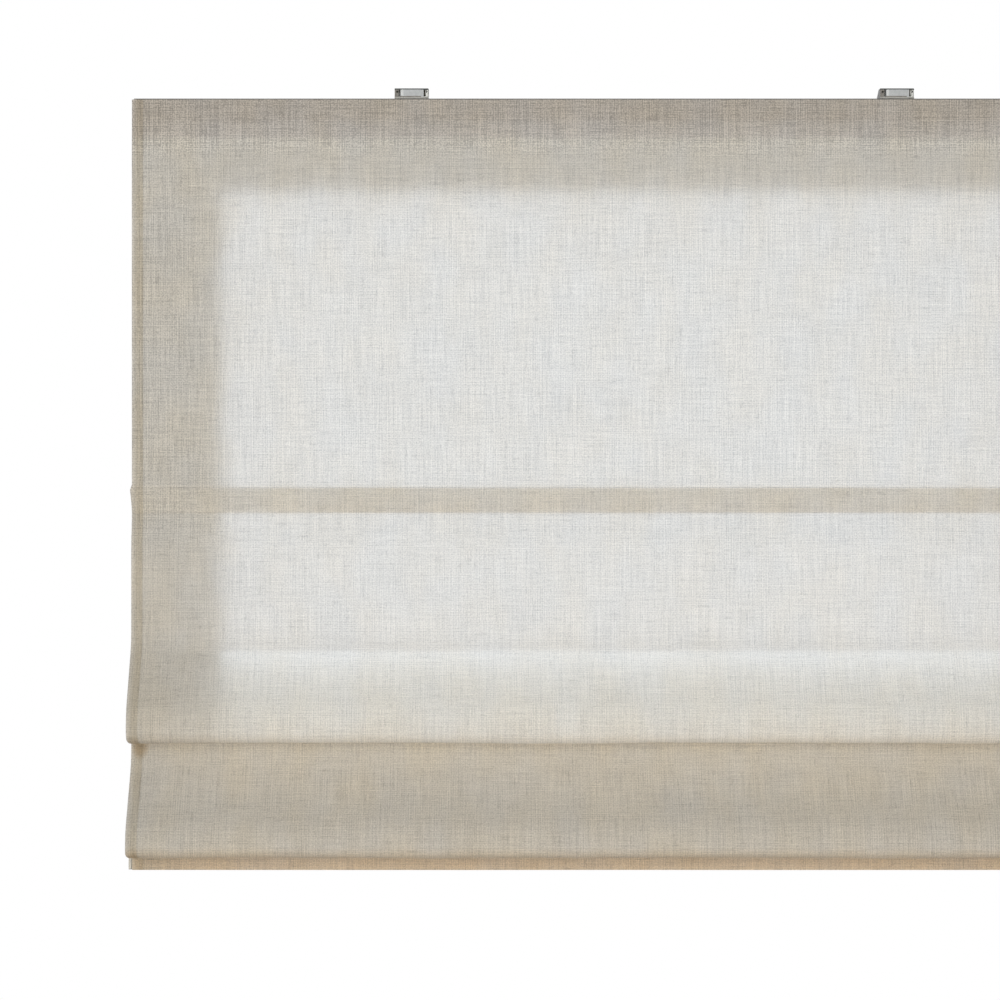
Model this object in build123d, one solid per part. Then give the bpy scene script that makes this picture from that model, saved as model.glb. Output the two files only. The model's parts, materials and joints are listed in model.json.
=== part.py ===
from build123d import *
from math import atan, copysign, cos, sin
import os

# Cordless roman blind, partly raised. Millimetres, +Z up, the room on the -Y side.
# The origin lies midway between the two brackets, at their ceiling screw holes, on the face that meets
# the ceiling.

# Blind and cloth
BLIND_WIDTH = 1000.0
CLOTH_T = 0.6
HEM_WIDTH = 11.5
HEM_EXTRA_T = 0.8
CLOTH_FACE_Y = -9.0
CLOTH_BELOW_RAIL_TOP = 1.5

# Battens: the places they hang at while the blind is raised as far as shown
PANEL_DROP = 400.5
BATTEN_2_BELOW = 184.5
BATTEN_3_BELOW = 42.0
BATTEN_HEIGHT = 20.0
BATTEN_T = 2.0
BATTEN_CORNER = 0.9
BATTEN_END_GAP = 5.0
POCKET_HEIGHT = 25.0
POCKET_GAP = 0.4
POCKET_CORNER = 1.2

# The two folds, measured down from batten 1's line and forward from the cloth's face
FRONT_OFFSET = 5.0
FRONT_OFFSET_RUN = 34.0
FOLD_2_OFFSET_RUN = 13.0
INNER_OFFSET = 1.6
FOLD_1_HANG = 128.5
FOLD_1_BELLY = 225.5
FOLD_1_DEPTH = 46.0
FOLD_1_RADIUS = 15.0
FOLD_2_HANG = 246.5
FOLD_2_BELLY = 343.5
FOLD_2_DEPTH = 52.0
FOLD_2_RADIUS = 9.0
FOLD_1_INNER_RUN = 20.0
FOLD_2_INNER_RUN = 58.0
SWAY_LEAN = 0.68

# Bottom flap, its hem and the bar in it
FLAP_DROP = 143.5
BAR_HEM_HEIGHT = 27.0
BAR_HEIGHT = 18.0
BAR_T = 4.0
BAR_WALL = 1.0
BAR_CORNER = 1.8
BAR_END_GAP = 2.0
BAR_CAP_T = 2.7
BAR_CAP_MARGIN = 0.7
BAR_PLUG_LENGTH = 12.0

# Headrail: a channel open upwards, its lips turned in
RAIL_END_GAP = 4.0
RAIL_DEPTH = 30.0
RAIL_HEIGHT = 25.0
RAIL_WALL = 1.2
RAIL_LIP = 6.2
RAIL_CORNER = 1.6
END_CAP_T = 2.0
END_CAP_PLUG = 8.0
END_CAP_WALL = 1.6
PLUG_GAP = 0.2
TAPE_T = 1.0
TAPE_HEIGHT = 20.0
TAPE_BELOW_TOP = 2.5

# Brackets: folded steel, with a spring lever each
BRACKET_SPACING = 486.0
BRACKET_OFF_CENTRE = 23.0
BRACKET_WIDTH = 34.0
BRACKET_RISE = 10.0
BRACKET_T = 1.2
BRACKET_TOP_DEPTH = 12.4
BRACKET_SCREW_R = 2.2
BRACKET_SLOT_WIDTH = 2.0
BRACKET_SLOT_HEIGHT = 7.0
BRACKET_SLOT_OFF = 12.0
BRACKET_PANEL_OUT = 0.6
BRACKET_NOTCH = 5.0
WALL_SCREW_SPACING = 12.0
BACK_PLATE_DROP = 30.0
BACK_PLATE_GAP = 0.4
CLAW_WIDTH = 7.5
CLAW_GAP = 0.5
LEVER_PIVOT_X = 6.0
LEVER_POST_R = 3.0
LEVER_T = 1.6
LEVER_HUB_R = 6.0
LEVER_GAP = 0.4
LEVER_CAM_REACH = 12.5
LEVER_CAM_WIDTH = 8.0
LEVER_TAB_R = 2.4
LEVER_TAB_T = 1.0
LEVER_TAB_HOLE = 1.6

# Lift shaft, spools, cradles and spring motor
SHAFT_AF = 6.0
SHAFT_PAST_SPOOL = 30.0
SHAFT_BELOW_TOP = 13.0
FIT_GAP = 0.05
SPOOL_FROM_EDGE = 130.0
SPOOL_CORE_R = 6.5
SPOOL_FLANGE_R = 9.0
SPOOL_FLANGE_T = 1.5
SPOOL_FLANGE_SIDES = 20
SPOOL_JOURNAL_R = 4.5
JOURNAL_PAST_WALL = 0.6
CORD_R = 0.7
CORD_TURNS = 8
WINDING_GAP = 0.3
CRADLE_WALL = 2.0
CRADLE_FLOOR = 1.4
CRADLE_WALL_GAP = 0.6
CRADLE_SIDE_GAP = 0.3
NOZZLE_R = 3.0
NOZZLE_BORE_R = 1.6
NOZZLE_DROP = 4.0
NOZZLE_HOLE_GAP = 0.3
MOTOR_LENGTH = 90.0
MOTOR_OFF_CENTRE = 80.0
MOTOR_WALL = 1.8
MOTOR_LID_T = 1.6
MOTOR_RIBS = 7
MOTOR_RIB_T = 1.2
MOTOR_RIB_RISE = 0.8
MOTOR_BORE_R = 4.1
MOTOR_DRUM_GAP = 0.6
MOTOR_CORNER = 2.0

# Cord guides on the batten pockets, and the stop knots
GUIDE_RING_R = 4.0
GUIDE_WIRE_R = 0.9
GUIDE_STOP_RING_R = 2.2
GUIDE_PAD_WIDTH = 10.0
GUIDE_PAD_HEIGHT = 8.0
GUIDE_PAD_T = 1.0
KNOT_R = 2.4
KNOT_GAP = 0.3

# Places worked out from the sizes above
CENTRE_X = -BRACKET_OFF_CENTRE
HALF = BLIND_WIDTH / 2
BATTEN_LENGTH = BLIND_WIDTH - 2 * BATTEN_END_GAP
BAR_LENGTH = BLIND_WIDTH - 2 * BAR_END_GAP
RAIL_LENGTH = BLIND_WIDTH - 2 * RAIL_END_GAP
SPOOL_OFF_CENTRE = HALF - SPOOL_FROM_EDGE
SHAFT_LENGTH = 2 * (SPOOL_OFF_CENTRE + SHAFT_PAST_SPOOL)
RAIL_TOP_Z = -BRACKET_RISE
CLOTH_TOP_Z = RAIL_TOP_Z - CLOTH_BELOW_RAIL_TOP
BATTEN_Z = [CLOTH_TOP_Z - PANEL_DROP]
BATTEN_Z.append(BATTEN_Z[0] - BATTEN_2_BELOW)
BATTEN_Z.append(BATTEN_Z[1] - BATTEN_3_BELOW)
BOTTOM_Z = BATTEN_Z[2] - FLAP_DROP
RAIL_FRONT_Y = CLOTH_FACE_Y + CLOTH_T + 2 * TAPE_T
RAIL_BACK_Y = RAIL_FRONT_Y + RAIL_DEPTH
RAIL_FLOOR_Z = RAIL_TOP_Z - RAIL_HEIGHT + RAIL_WALL
SHAFT_Y = (RAIL_FRONT_Y + RAIL_BACK_Y) / 2
SHAFT_Z = RAIL_TOP_Z - SHAFT_BELOW_TOP
WINDING_R = SPOOL_CORE_R + WINDING_GAP + 2 * CORD_R
CORD_Y = SHAFT_Y - WINDING_R + CORD_R
POCKET_DEPTH = 2 * CLOTH_T + BATTEN_T + 2 * POCKET_GAP
POCKET_BACK_Y = CLOTH_FACE_Y + POCKET_DEPTH
BATTEN_Y = CLOTH_FACE_Y + POCKET_DEPTH / 2
BAR_HEM_DEPTH = 2 * CLOTH_T + BAR_T + 2 * POCKET_GAP
BAR_Y = CLOTH_FACE_Y + BAR_HEM_DEPTH / 2
BAR_Z = BOTTOM_Z + CLOTH_T + POCKET_GAP + BAR_HEIGHT / 2
WINDING_LENGTH = CORD_TURNS * 2 * CORD_R
SPOOL_LENGTH = WINDING_LENGTH + 2 * WINDING_GAP + 2 * SPOOL_FLANGE_T
CRADLE_LENGTH = SPOOL_LENGTH + 2 * CRADLE_WALL_GAP + 2 * CRADLE_WALL
WALL_Y = RAIL_BACK_Y + BACK_PLATE_GAP + BRACKET_T
SIDES = {"left": -1, "right": 1}


def box(x, y, z):
    """A block between two corners, given as (low, high) along each axis."""
    block = Box(x[1] - x[0], y[1] - y[0], z[1] - z[0])
    return Pos((x[0] + x[1]) / 2, (y[0] + y[1]) / 2, (z[0] + z[1]) / 2) * block


def along_x(section, length, x_centre):
    """A section drawn as (y, z), extruded along X about x_centre."""
    solid = extrude(Plane.YZ * section, length)
    return Pos(x_centre - length / 2, 0, 0) * solid


def rounded(width, height, radius, at=(0, 0)):
    """A rectangle with rounded corners, centred at a point."""
    return Pos(*at) * RectangleRounded(width, height, radius)


def rod(radius, length, at, axis):
    """A round bar centred at a point, along X or Z."""
    turn = Rot(0, 90, 0) if axis == "x" else Rot(0, 0, 0)
    return Pos(*at) * turn * Cylinder(radius, length)


def sway(start, end):
    """Two equal arcs with a straight lean between them, which carry the cloth sideways."""
    across = end[0] - start[0]
    rise = end[1] - start[1]
    lean = 2 * SWAY_LEAN * atan(abs(across / rise))
    turn = 1 - cos(lean)
    radius = (abs(rise) * sin(lean) - abs(across) * cos(lean)) / (2 * turn)
    step = (copysign(radius * turn, across), copysign(radius * sin(lean), rise))
    arc_end = (start[0] + step[0], start[1] + step[1])
    arc_start = (end[0] - step[0], end[1] - step[1])
    first = TangentArc(start, arc_end, tangent=(0, copysign(1, rise)))
    middle = Line(arc_end, arc_start)
    last = TangentArc(arc_start, end, tangent=middle % 1)
    return [first, middle, last]


def fold(top, crease_z, offset_run, hang, belly, depth, radius, inner_run):
    """One fold of the sheet, from a pocket's lower edge down its front, round and up to the next crease."""
    y = CLOTH_FACE_Y
    front = y - FRONT_OFFSET
    hang_z = BATTEN_Z[0] - hang
    belly_z = BATTEN_Z[0] - belly
    inner = y - INNER_OFFSET
    turn_r = INNER_OFFSET / 2
    path = sway((y, top), (front, top - offset_run))
    path.append(Line((front, top - offset_run), (front, hang_z)))
    path += sway((front, hang_z), (y - depth, belly_z))
    back = y - depth + 2 * radius
    path.append(
        ThreePointArc((y - depth, belly_z), (y - depth + radius, belly_z - radius), (back, belly_z))
    )
    path += sway((back, belly_z), (inner, crease_z - inner_run))
    path.append(Line((inner, crease_z - inner_run), (inner, crease_z - turn_r)))
    path.append(
        ThreePointArc((inner, crease_z - turn_r), (y - turn_r, crease_z), (y, crease_z - turn_r))
    )
    return path


def sheet_spans():
    """The sheet's face line, drawn as (y, z) in two spans, parted at the crease over pocket 2."""
    y = CLOTH_FACE_Y
    turn_r = INNER_OFFSET / 2
    low = [z - POCKET_HEIGHT / 2 for z in BATTEN_Z]
    crease = [z + POCKET_HEIGHT / 2 for z in BATTEN_Z]
    fold_1 = fold(
        low[0],
        crease[1],
        FRONT_OFFSET_RUN,
        FOLD_1_HANG,
        FOLD_1_BELLY,
        FOLD_1_DEPTH,
        FOLD_1_RADIUS,
        FOLD_1_INNER_RUN,
    )
    fold_2 = fold(
        low[1],
        crease[2],
        FOLD_2_OFFSET_RUN,
        FOLD_2_HANG,
        FOLD_2_BELLY,
        FOLD_2_DEPTH,
        FOLD_2_RADIUS,
        FOLD_2_INNER_RUN,
    )
    return [
        [Line((y, CLOTH_TOP_Z), (y, low[0])), *fold_1],
        [
            Line((y, crease[1] - turn_r), (y, low[1])),
            *fold_2,
            Line((y, crease[2] - turn_r), (y, BOTTOM_Z)),
        ],
    ]


def thickened(thickness):
    """The sheet's section: each span of its face line with a thickness laid on its back."""
    section = None
    for span in sheet_spans():
        piece = make_face(Wire(span).offset_2d(thickness, side=Side.LEFT, closed=True))
        section = piece if section is None else section + piece
    return section


def pocket_places():
    """Each pocket on the sheet's back, as the height of its middle, its height and its depth."""
    places = [(z, POCKET_HEIGHT, POCKET_DEPTH) for z in BATTEN_Z]
    places.append((BOTTOM_Z + BAR_HEM_HEIGHT / 2, BAR_HEM_HEIGHT, BAR_HEM_DEPTH))
    return places


def pocket(middle, height, depth):
    """A pocket's outer section, square where it meets the sheet's face, and the section of its hollow."""
    centre = (CLOTH_FACE_Y + depth / 2, middle)
    outer = rounded(depth, height, POCKET_CORNER, centre)
    outer += Pos(CLOTH_FACE_Y + CLOTH_T / 2, middle) * Rectangle(CLOTH_T, height)
    hollow = Pos(*centre) * Rectangle(depth - 2 * CLOTH_T, height - 2 * CLOTH_T)
    return outer, hollow


def blind_cloth():
    """The one sheet: upper panel, two folds and flap, with side hems, batten pockets and bar hem."""
    cloth = along_x(thickened(CLOTH_T), BLIND_WIDTH, CENTRE_X)
    hem_section = thickened(CLOTH_T + HEM_EXTRA_T)
    for side in SIDES.values():
        cloth += along_x(hem_section, HEM_WIDTH, CENTRE_X + side * (HALF - HEM_WIDTH / 2))
    for place in pocket_places():
        outer, hollow = pocket(*place)
        cloth += along_x(outer, BLIND_WIDTH, CENTRE_X)
        cloth -= along_x(hollow, BLIND_WIDTH + HEM_WIDTH, CENTRE_X)
    return cloth


def headrail():
    """The channel, with a cord hole below each spool."""
    outer = rounded(RAIL_DEPTH, RAIL_HEIGHT, RAIL_CORNER, (SHAFT_Y, RAIL_TOP_Z - RAIL_HEIGHT / 2))
    inner = Rectangle(RAIL_DEPTH - 2 * RAIL_WALL, RAIL_HEIGHT - 2 * RAIL_WALL)
    inner = Pos(SHAFT_Y, RAIL_TOP_Z - RAIL_HEIGHT / 2) * inner
    mouth = Pos(SHAFT_Y, RAIL_TOP_Z) * Rectangle(RAIL_DEPTH - 2 * RAIL_LIP, 4 * RAIL_WALL)
    rail = along_x(outer - inner - mouth, RAIL_LENGTH, CENTRE_X)
    for side in SIDES.values():
        x = CENTRE_X + side * SPOOL_OFF_CENTRE
        rail -= rod(NOZZLE_R + NOZZLE_HOLE_GAP, 4 * RAIL_WALL, (x, CORD_Y, RAIL_FLOOR_Z), "z")
    return rail


def end_cap(side):
    """A cap on the headrail's end: a plate of the rail's outline and a rim that plugs into it."""
    z = RAIL_TOP_Z - RAIL_HEIGHT / 2
    face = CENTRE_X + side * (RAIL_LENGTH + END_CAP_T) / 2
    plate = along_x(rounded(RAIL_DEPTH, RAIL_HEIGHT, RAIL_CORNER, (SHAFT_Y, z)), END_CAP_T, face)
    plug_w = RAIL_DEPTH - 2 * RAIL_WALL - 2 * PLUG_GAP
    plug_h = RAIL_HEIGHT - 2 * RAIL_WALL - 2 * PLUG_GAP
    rim = Rectangle(plug_w, plug_h) - Rectangle(plug_w - 2 * END_CAP_WALL, plug_h - 2 * END_CAP_WALL)
    plug_x = CENTRE_X + side * (RAIL_LENGTH - END_CAP_PLUG) / 2
    return plate + along_x(Pos(SHAFT_Y, z) * rim, END_CAP_PLUG, plug_x)


def tape(y):
    """One half of the touch tape that holds the sheet's top to the headrail's front."""
    top = RAIL_TOP_Z - TAPE_BELOW_TOP
    strip = Rectangle(TAPE_T, TAPE_HEIGHT)
    return along_x(Pos(y, top - TAPE_HEIGHT / 2) * strip, RAIL_LENGTH - 2 * HEM_WIDTH, CENTRE_X)


def bracket(x):
    """A folded steel bracket: pressed-out front panel, top, web, sloped cheek, base, claw, back plate."""
    half = BRACKET_WIDTH / 2
    front = RAIL_FRONT_Y
    low = RAIL_TOP_Z
    notch_x = half - BRACKET_NOTCH
    front_wall = box((-half, notch_x), (front, front + BRACKET_T), (low, 0))
    panel = box(
        (-BRACKET_SLOT_OFF + BRACKET_SLOT_WIDTH / 2, notch_x - BRACKET_SLOT_WIDTH),
        (front - BRACKET_PANEL_OUT, front + BRACKET_T - BRACKET_PANEL_OUT),
        (low + 2 * BRACKET_T, -BRACKET_T),
    )
    panel = chamfer(panel.edges().filter_by(Axis.Y), BRACKET_PANEL_OUT)
    slot = box(
        (-BRACKET_SLOT_OFF - BRACKET_SLOT_WIDTH / 2, -BRACKET_SLOT_OFF + BRACKET_SLOT_WIDTH / 2),
        (front - BRACKET_T, front + 2 * BRACKET_T),
        (-BRACKET_T - BRACKET_SLOT_HEIGHT, -BRACKET_T),
    )
    top_plate = box((-half, half), (front, front + BRACKET_TOP_DEPTH), (-BRACKET_T, 0))
    top_edges = top_plate.edges().filter_by(Axis.Y).group_by(Axis.Z)[-1]
    top_plate = chamfer(top_edges.sort_by(Axis.X)[-1], BRACKET_T / 2)
    web_y = front + BRACKET_TOP_DEPTH
    web_low = low + BRACKET_T + LEVER_T + 2 * LEVER_GAP
    web = box((-half, half), (web_y - BRACKET_T, web_y), (web_low, -BRACKET_T / 2))
    base = box((-half, half), (front, WALL_Y), (low, low + BRACKET_T))
    cheek_profile = Polyline(
        (front, 0),
        (front + BRACKET_TOP_DEPTH, 0),
        (RAIL_BACK_Y, low + BRACKET_T),
        (RAIL_BACK_Y, low),
        (front, low),
        close=True,
    )
    cheek = along_x(make_face(cheek_profile), BRACKET_T, -half + BRACKET_T / 2)
    back_z = (low - BACK_PLATE_DROP, low + BRACKET_T)
    back = box((-half, half), (WALL_Y - BRACKET_T, WALL_Y), back_z)
    back = chamfer(back.edges().filter_by(Axis.Y).group_by(Axis.Z)[0], 4 * BRACKET_T)
    lip_under = RAIL_TOP_Z - RAIL_WALL
    claw_z = (lip_under - CLAW_GAP - BRACKET_T, lip_under - CLAW_GAP)
    claw_y = front + RAIL_LIP + CLAW_GAP
    claw_edge = LEVER_PIVOT_X - LEVER_HUB_R - CLAW_GAP
    claw_x = (claw_edge - CLAW_WIDTH, claw_edge)
    claw_neck = box(claw_x, (claw_y, claw_y + BRACKET_T), (claw_z[0], low + BRACKET_T))
    claw_toe = box(claw_x, (front + RAIL_WALL + CLAW_GAP, claw_y + BRACKET_T), claw_z)
    steel = front_wall + panel - slot + top_plate + web + base + cheek + back + claw_neck + claw_toe
    steel -= Cylinder(BRACKET_SCREW_R, 4 * BRACKET_T)
    steel -= rod(LEVER_POST_R + FIT_GAP, 4 * BRACKET_T, (LEVER_PIVOT_X, SHAFT_Y, low), "z")
    for z in wall_screw_heights():
        hole = Pos(0, WALL_Y, z) * Rot(90, 0, 0) * Cylinder(BRACKET_SCREW_R, 4 * BRACKET_T)
        steel -= hole
    return Pos(x, 0, 0) * steel


def wall_screw_heights():
    """The two wall screws of a bracket, centred on the back plate."""
    middle = RAIL_TOP_Z - BACK_PLATE_DROP / 2
    return [middle - WALL_SCREW_SPACING / 2, middle + WALL_SCREW_SPACING / 2]


def lever(x):
    """A moulded lever: arm with a curled finger tab, a post through the bracket, a cam under the lip."""
    base_top = RAIL_TOP_Z + BRACKET_T
    arm_z = base_top + LEVER_GAP
    cam_top = RAIL_TOP_Z - RAIL_WALL - LEVER_GAP
    pivot = (LEVER_PIVOT_X, SHAFT_Y)
    tab_x = BRACKET_WIDTH / 2 - LEVER_TAB_R
    tab_y = RAIL_FRONT_Y + LEVER_TAB_R
    hub = Pos(*pivot) * Circle(LEVER_HUB_R)
    reach = make_hull((hub + Pos(tab_x, tab_y) * Circle(LEVER_TAB_R)).edges())
    arm = Pos(0, 0, arm_z) * extrude(reach, LEVER_T)
    ring = Pos(tab_x, tab_y) * (Circle(LEVER_TAB_R) - Circle(LEVER_TAB_R - LEVER_TAB_T))
    opening = Rectangle(2 * LEVER_TAB_R, LEVER_TAB_R)
    ring -= Pos(tab_x - LEVER_TAB_R, tab_y - LEVER_TAB_R / 2) * opening
    tab = Pos(0, 0, arm_z) * extrude(ring, -BRACKET_T - LEVER_GAP - arm_z)
    hole = Box(2 * LEVER_TAB_R, LEVER_TAB_HOLE, LEVER_TAB_HOLE)
    tab -= Pos(tab_x + LEVER_TAB_R, tab_y, -BRACKET_T - 1.5 * LEVER_TAB_HOLE) * hole
    post = Pos(*pivot, (cam_top + arm_z) / 2) * Cylinder(LEVER_POST_R, arm_z - cam_top)
    heel = LEVER_CAM_WIDTH / 2
    cam_y = (pivot[1] - heel, pivot[1] + LEVER_CAM_REACH)
    cam = box((pivot[0] - heel, pivot[0] + heel), cam_y, (cam_top - LEVER_T, cam_top))
    return Pos(x, 0, 0) * (arm + tab + post + cam)


def hexagon(across_flats):
    """A hexagon by its size across the flats, drawn as (y, z) about the shaft's axis."""
    return Pos(SHAFT_Y, SHAFT_Z) * RegularPolygon(across_flats / 2, 6, major_radius=False)


def lift_shaft():
    """The hexagon shaft that joins the spools and the spring motor."""
    return along_x(hexagon(SHAFT_AF), SHAFT_LENGTH, CENTRE_X)


def cord_spool(side):
    """A spool with two faceted flanges and a round journal at each end, bored to the shaft's hexagon."""
    x = CENTRE_X + side * SPOOL_OFF_CENTRE
    core = rod(SPOOL_CORE_R, SPOOL_LENGTH, (x, SHAFT_Y, SHAFT_Z), "x")
    journal = rod(
        SPOOL_JOURNAL_R, CRADLE_LENGTH + 2 * JOURNAL_PAST_WALL, (x, SHAFT_Y, SHAFT_Z), "x"
    )
    spool = core + journal
    flange = Pos(SHAFT_Y, SHAFT_Z) * RegularPolygon(SPOOL_FLANGE_R, SPOOL_FLANGE_SIDES)
    for end in SIDES.values():
        flange_x = x + end * (SPOOL_LENGTH - SPOOL_FLANGE_T) / 2
        spool += along_x(flange, SPOOL_FLANGE_T, flange_x)
    bore = along_x(hexagon(SHAFT_AF + 2 * FIT_GAP), BLIND_WIDTH, CENTRE_X)
    return spool - bore


def cord_cradle(side):
    """A moulded cradle that carries the spool's journals, with a nozzle that guides the cord down."""
    x = CENTRE_X + side * SPOOL_OFF_CENTRE
    width = RAIL_DEPTH - 2 * RAIL_WALL - 2 * CRADLE_SIDE_GAP
    floor = box(
        (x - CRADLE_LENGTH / 2, x + CRADLE_LENGTH / 2),
        (SHAFT_Y - width / 2, SHAFT_Y + width / 2),
        (RAIL_FLOOR_Z, RAIL_FLOOR_Z + CRADLE_FLOOR),
    )
    cradle = chamfer(floor.edges().filter_by(Axis.Z), CRADLE_WALL)
    wall_top = SHAFT_Z + SPOOL_JOURNAL_R / 2
    wall_height = wall_top - RAIL_FLOOR_Z
    taper = Polyline(
        (SHAFT_Y - width / 2, RAIL_FLOOR_Z),
        (SHAFT_Y + width / 2, RAIL_FLOOR_Z),
        (SHAFT_Y + SPOOL_FLANGE_R, RAIL_FLOOR_Z + wall_height),
        (SHAFT_Y - SPOOL_FLANGE_R, RAIL_FLOOR_Z + wall_height),
        close=True,
    )
    for end in SIDES.values():
        wall_x = x + end * (CRADLE_LENGTH - CRADLE_WALL) / 2
        cradle += along_x(make_face(taper), CRADLE_WALL, wall_x)
    saddle = rod(SPOOL_JOURNAL_R + FIT_GAP, 2 * CRADLE_LENGTH, (x, SHAFT_Y, SHAFT_Z), "x")
    throat = box(
        (x - CRADLE_LENGTH, x + CRADLE_LENGTH),
        (SHAFT_Y - SPOOL_JOURNAL_R + FIT_GAP, SHAFT_Y + SPOOL_JOURNAL_R - FIT_GAP),
        (SHAFT_Z, SHAFT_Z + SPOOL_JOURNAL_R),
    )
    nozzle_z = (RAIL_FLOOR_Z + CRADLE_FLOOR - NOZZLE_DROP - RAIL_WALL, RAIL_FLOOR_Z + CRADLE_FLOOR)
    nozzle = Pos(x, CORD_Y, sum(nozzle_z) / 2) * Cylinder(NOZZLE_R, nozzle_z[1] - nozzle_z[0])
    bore = Pos(x, CORD_Y, sum(nozzle_z) / 2) * Cylinder(NOZZLE_BORE_R, 4 * NOZZLE_DROP)
    return cradle + nozzle - saddle - throat - bore


def motor_shell():
    """The spring motor's case and its lid, with the shaft running through both ends."""
    x = CENTRE_X + MOTOR_OFF_CENTRE
    width = RAIL_DEPTH - 2 * RAIL_WALL - 2 * CRADLE_SIDE_GAP
    lid_top = RAIL_TOP_Z - RAIL_WALL - CRADLE_SIDE_GAP
    case_top = lid_top - MOTOR_LID_T
    height = case_top - RAIL_FLOOR_Z
    case = Pos(x, SHAFT_Y, RAIL_FLOOR_Z + height / 2) * Box(MOTOR_LENGTH, width, height)
    case = chamfer(case.edges().filter_by(Axis.Z), MOTOR_CORNER)
    hollow = Box(MOTOR_LENGTH - 2 * MOTOR_WALL, width - 2 * MOTOR_WALL, height)
    case -= Pos(x, SHAFT_Y, RAIL_FLOOR_Z + height / 2 + MOTOR_WALL) * hollow
    passage = rod(MOTOR_BORE_R, 2 * MOTOR_LENGTH, (x, SHAFT_Y, SHAFT_Z), "x")
    lid = Pos(x, SHAFT_Y, case_top + MOTOR_LID_T / 2) * Box(MOTOR_LENGTH, width, MOTOR_LID_T)
    lid = chamfer(lid.edges().filter_by(Axis.Z), MOTOR_CORNER)
    pitch = MOTOR_LENGTH / (MOTOR_RIBS + 1)
    mouth = RAIL_DEPTH - 2 * RAIL_LIP - 2 * MOTOR_CORNER
    for number in range(MOTOR_RIBS):
        rib_x = x - MOTOR_LENGTH / 2 + pitch * (number + 1)
        rib = Box(MOTOR_RIB_T, mouth, MOTOR_RIB_RISE)
        lid += Pos(rib_x, SHAFT_Y, lid_top + MOTOR_RIB_RISE / 2) * rib
    return case - passage, lid


def spring_drum():
    """The flat spring wound on its drum inside the motor, bored to the shaft's hexagon."""
    x = CENTRE_X + MOTOR_OFF_CENTRE
    length = MOTOR_LENGTH - 2 * MOTOR_WALL - 2 * MOTOR_DRUM_GAP
    radius = SHAFT_Z - RAIL_FLOOR_Z - MOTOR_WALL - MOTOR_DRUM_GAP
    drum = rod(radius, length, (x, SHAFT_Y, SHAFT_Z), "x")
    return drum - along_x(hexagon(SHAFT_AF + 2 * FIT_GAP), BLIND_WIDTH, CENTRE_X)


def lift_cord(side):
    """One cord: its turns on the spool, and its straight fall to the stop knot under batten 3's guide."""
    x = CENTRE_X + side * SPOOL_OFF_CENTRE
    turns = rod(WINDING_R, WINDING_LENGTH, (x, SHAFT_Y, SHAFT_Z), "x")
    turns -= rod(WINDING_R - 2 * CORD_R, 2 * WINDING_LENGTH, (x, SHAFT_Y, SHAFT_Z), "x")
    knot_top = BATTEN_Z[2] - GUIDE_WIRE_R - KNOT_GAP
    fall = rod(CORD_R, SHAFT_Z - knot_top, (x, CORD_Y, (SHAFT_Z + knot_top) / 2), "z")
    knot = Pos(x, CORD_Y, knot_top - 2 * KNOT_R) * extrude(RegularPolygon(KNOT_R, 8), 2 * KNOT_R)
    return turns + fall + knot


def batten(index):
    """A flat lath with rounded edges, in its pocket."""
    section = rounded(BATTEN_T, BATTEN_HEIGHT, BATTEN_CORNER, (BATTEN_Y, BATTEN_Z[index]))
    return along_x(section, BATTEN_LENGTH, CENTRE_X)


def cord_guides(index):
    """The two eyelets sewn on a pocket's back, each a pad, a neck and a ring that the cord runs through."""
    ring_r = GUIDE_STOP_RING_R if index == 2 else GUIDE_RING_R
    z = BATTEN_Z[index]
    pad_back = POCKET_BACK_Y + GUIDE_PAD_T
    guides = []
    for side in SIDES.values():
        x = CENTRE_X + side * SPOOL_OFF_CENTRE
        pad_x = (x - GUIDE_PAD_WIDTH / 2, x + GUIDE_PAD_WIDTH / 2)
        pad = box(pad_x, (POCKET_BACK_Y, pad_back), (z - GUIDE_PAD_HEIGHT / 2, z + GUIDE_PAD_HEIGHT / 2))
        neck_x = (x - GUIDE_WIRE_R, x + GUIDE_WIRE_R)
        neck_y = (pad_back - GUIDE_PAD_T / 2, CORD_Y - ring_r)
        neck = box(neck_x, neck_y, (z - GUIDE_WIRE_R, z + GUIDE_WIRE_R))
        ring = RegularPolygon(ring_r + GUIDE_WIRE_R, 8) - RegularPolygon(ring_r - GUIDE_WIRE_R, 8)
        ring = extrude(ring, 2 * GUIDE_WIRE_R)
        guides.append(pad + neck + Pos(x, CORD_Y, z - GUIDE_WIRE_R) * ring)
    return Compound(children=guides)


def bottom_bar():
    """The hollow flat bar that weights the sheet's bottom hem."""
    outer = rounded(BAR_T, BAR_HEIGHT, BAR_CORNER, (BAR_Y, BAR_Z))
    inner = rounded(
        BAR_T - 2 * BAR_WALL, BAR_HEIGHT - 2 * BAR_WALL, BAR_CORNER - BAR_WALL, (BAR_Y, BAR_Z)
    )
    return along_x(outer - inner, BAR_LENGTH, CENTRE_X)


def bar_cap(side):
    """A cap on the bar's end: a rounded plate outside the hem and a plug inside the bar."""
    plate = rounded(
        BAR_T + 2 * BAR_CAP_MARGIN, BAR_HEIGHT + 2 * BAR_CAP_MARGIN, BAR_T / 2, (BAR_Y, BAR_Z)
    )
    gap = BLIND_WIDTH - BAR_LENGTH
    face = CENTRE_X + side * (HALF + KNOT_GAP + BAR_CAP_T / 2)
    plug = Rectangle(BAR_T - 2 * BAR_WALL - PLUG_GAP, BAR_HEIGHT - 2 * BAR_CORNER - 2 * PLUG_GAP)
    reach = BAR_PLUG_LENGTH + gap / 2 + KNOT_GAP
    plug_x = CENTRE_X + side * (HALF + KNOT_GAP - reach / 2)
    return along_x(plate, BAR_CAP_T, face) + along_x(Pos(BAR_Y, BAR_Z) * plug, reach, plug_x)


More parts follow.
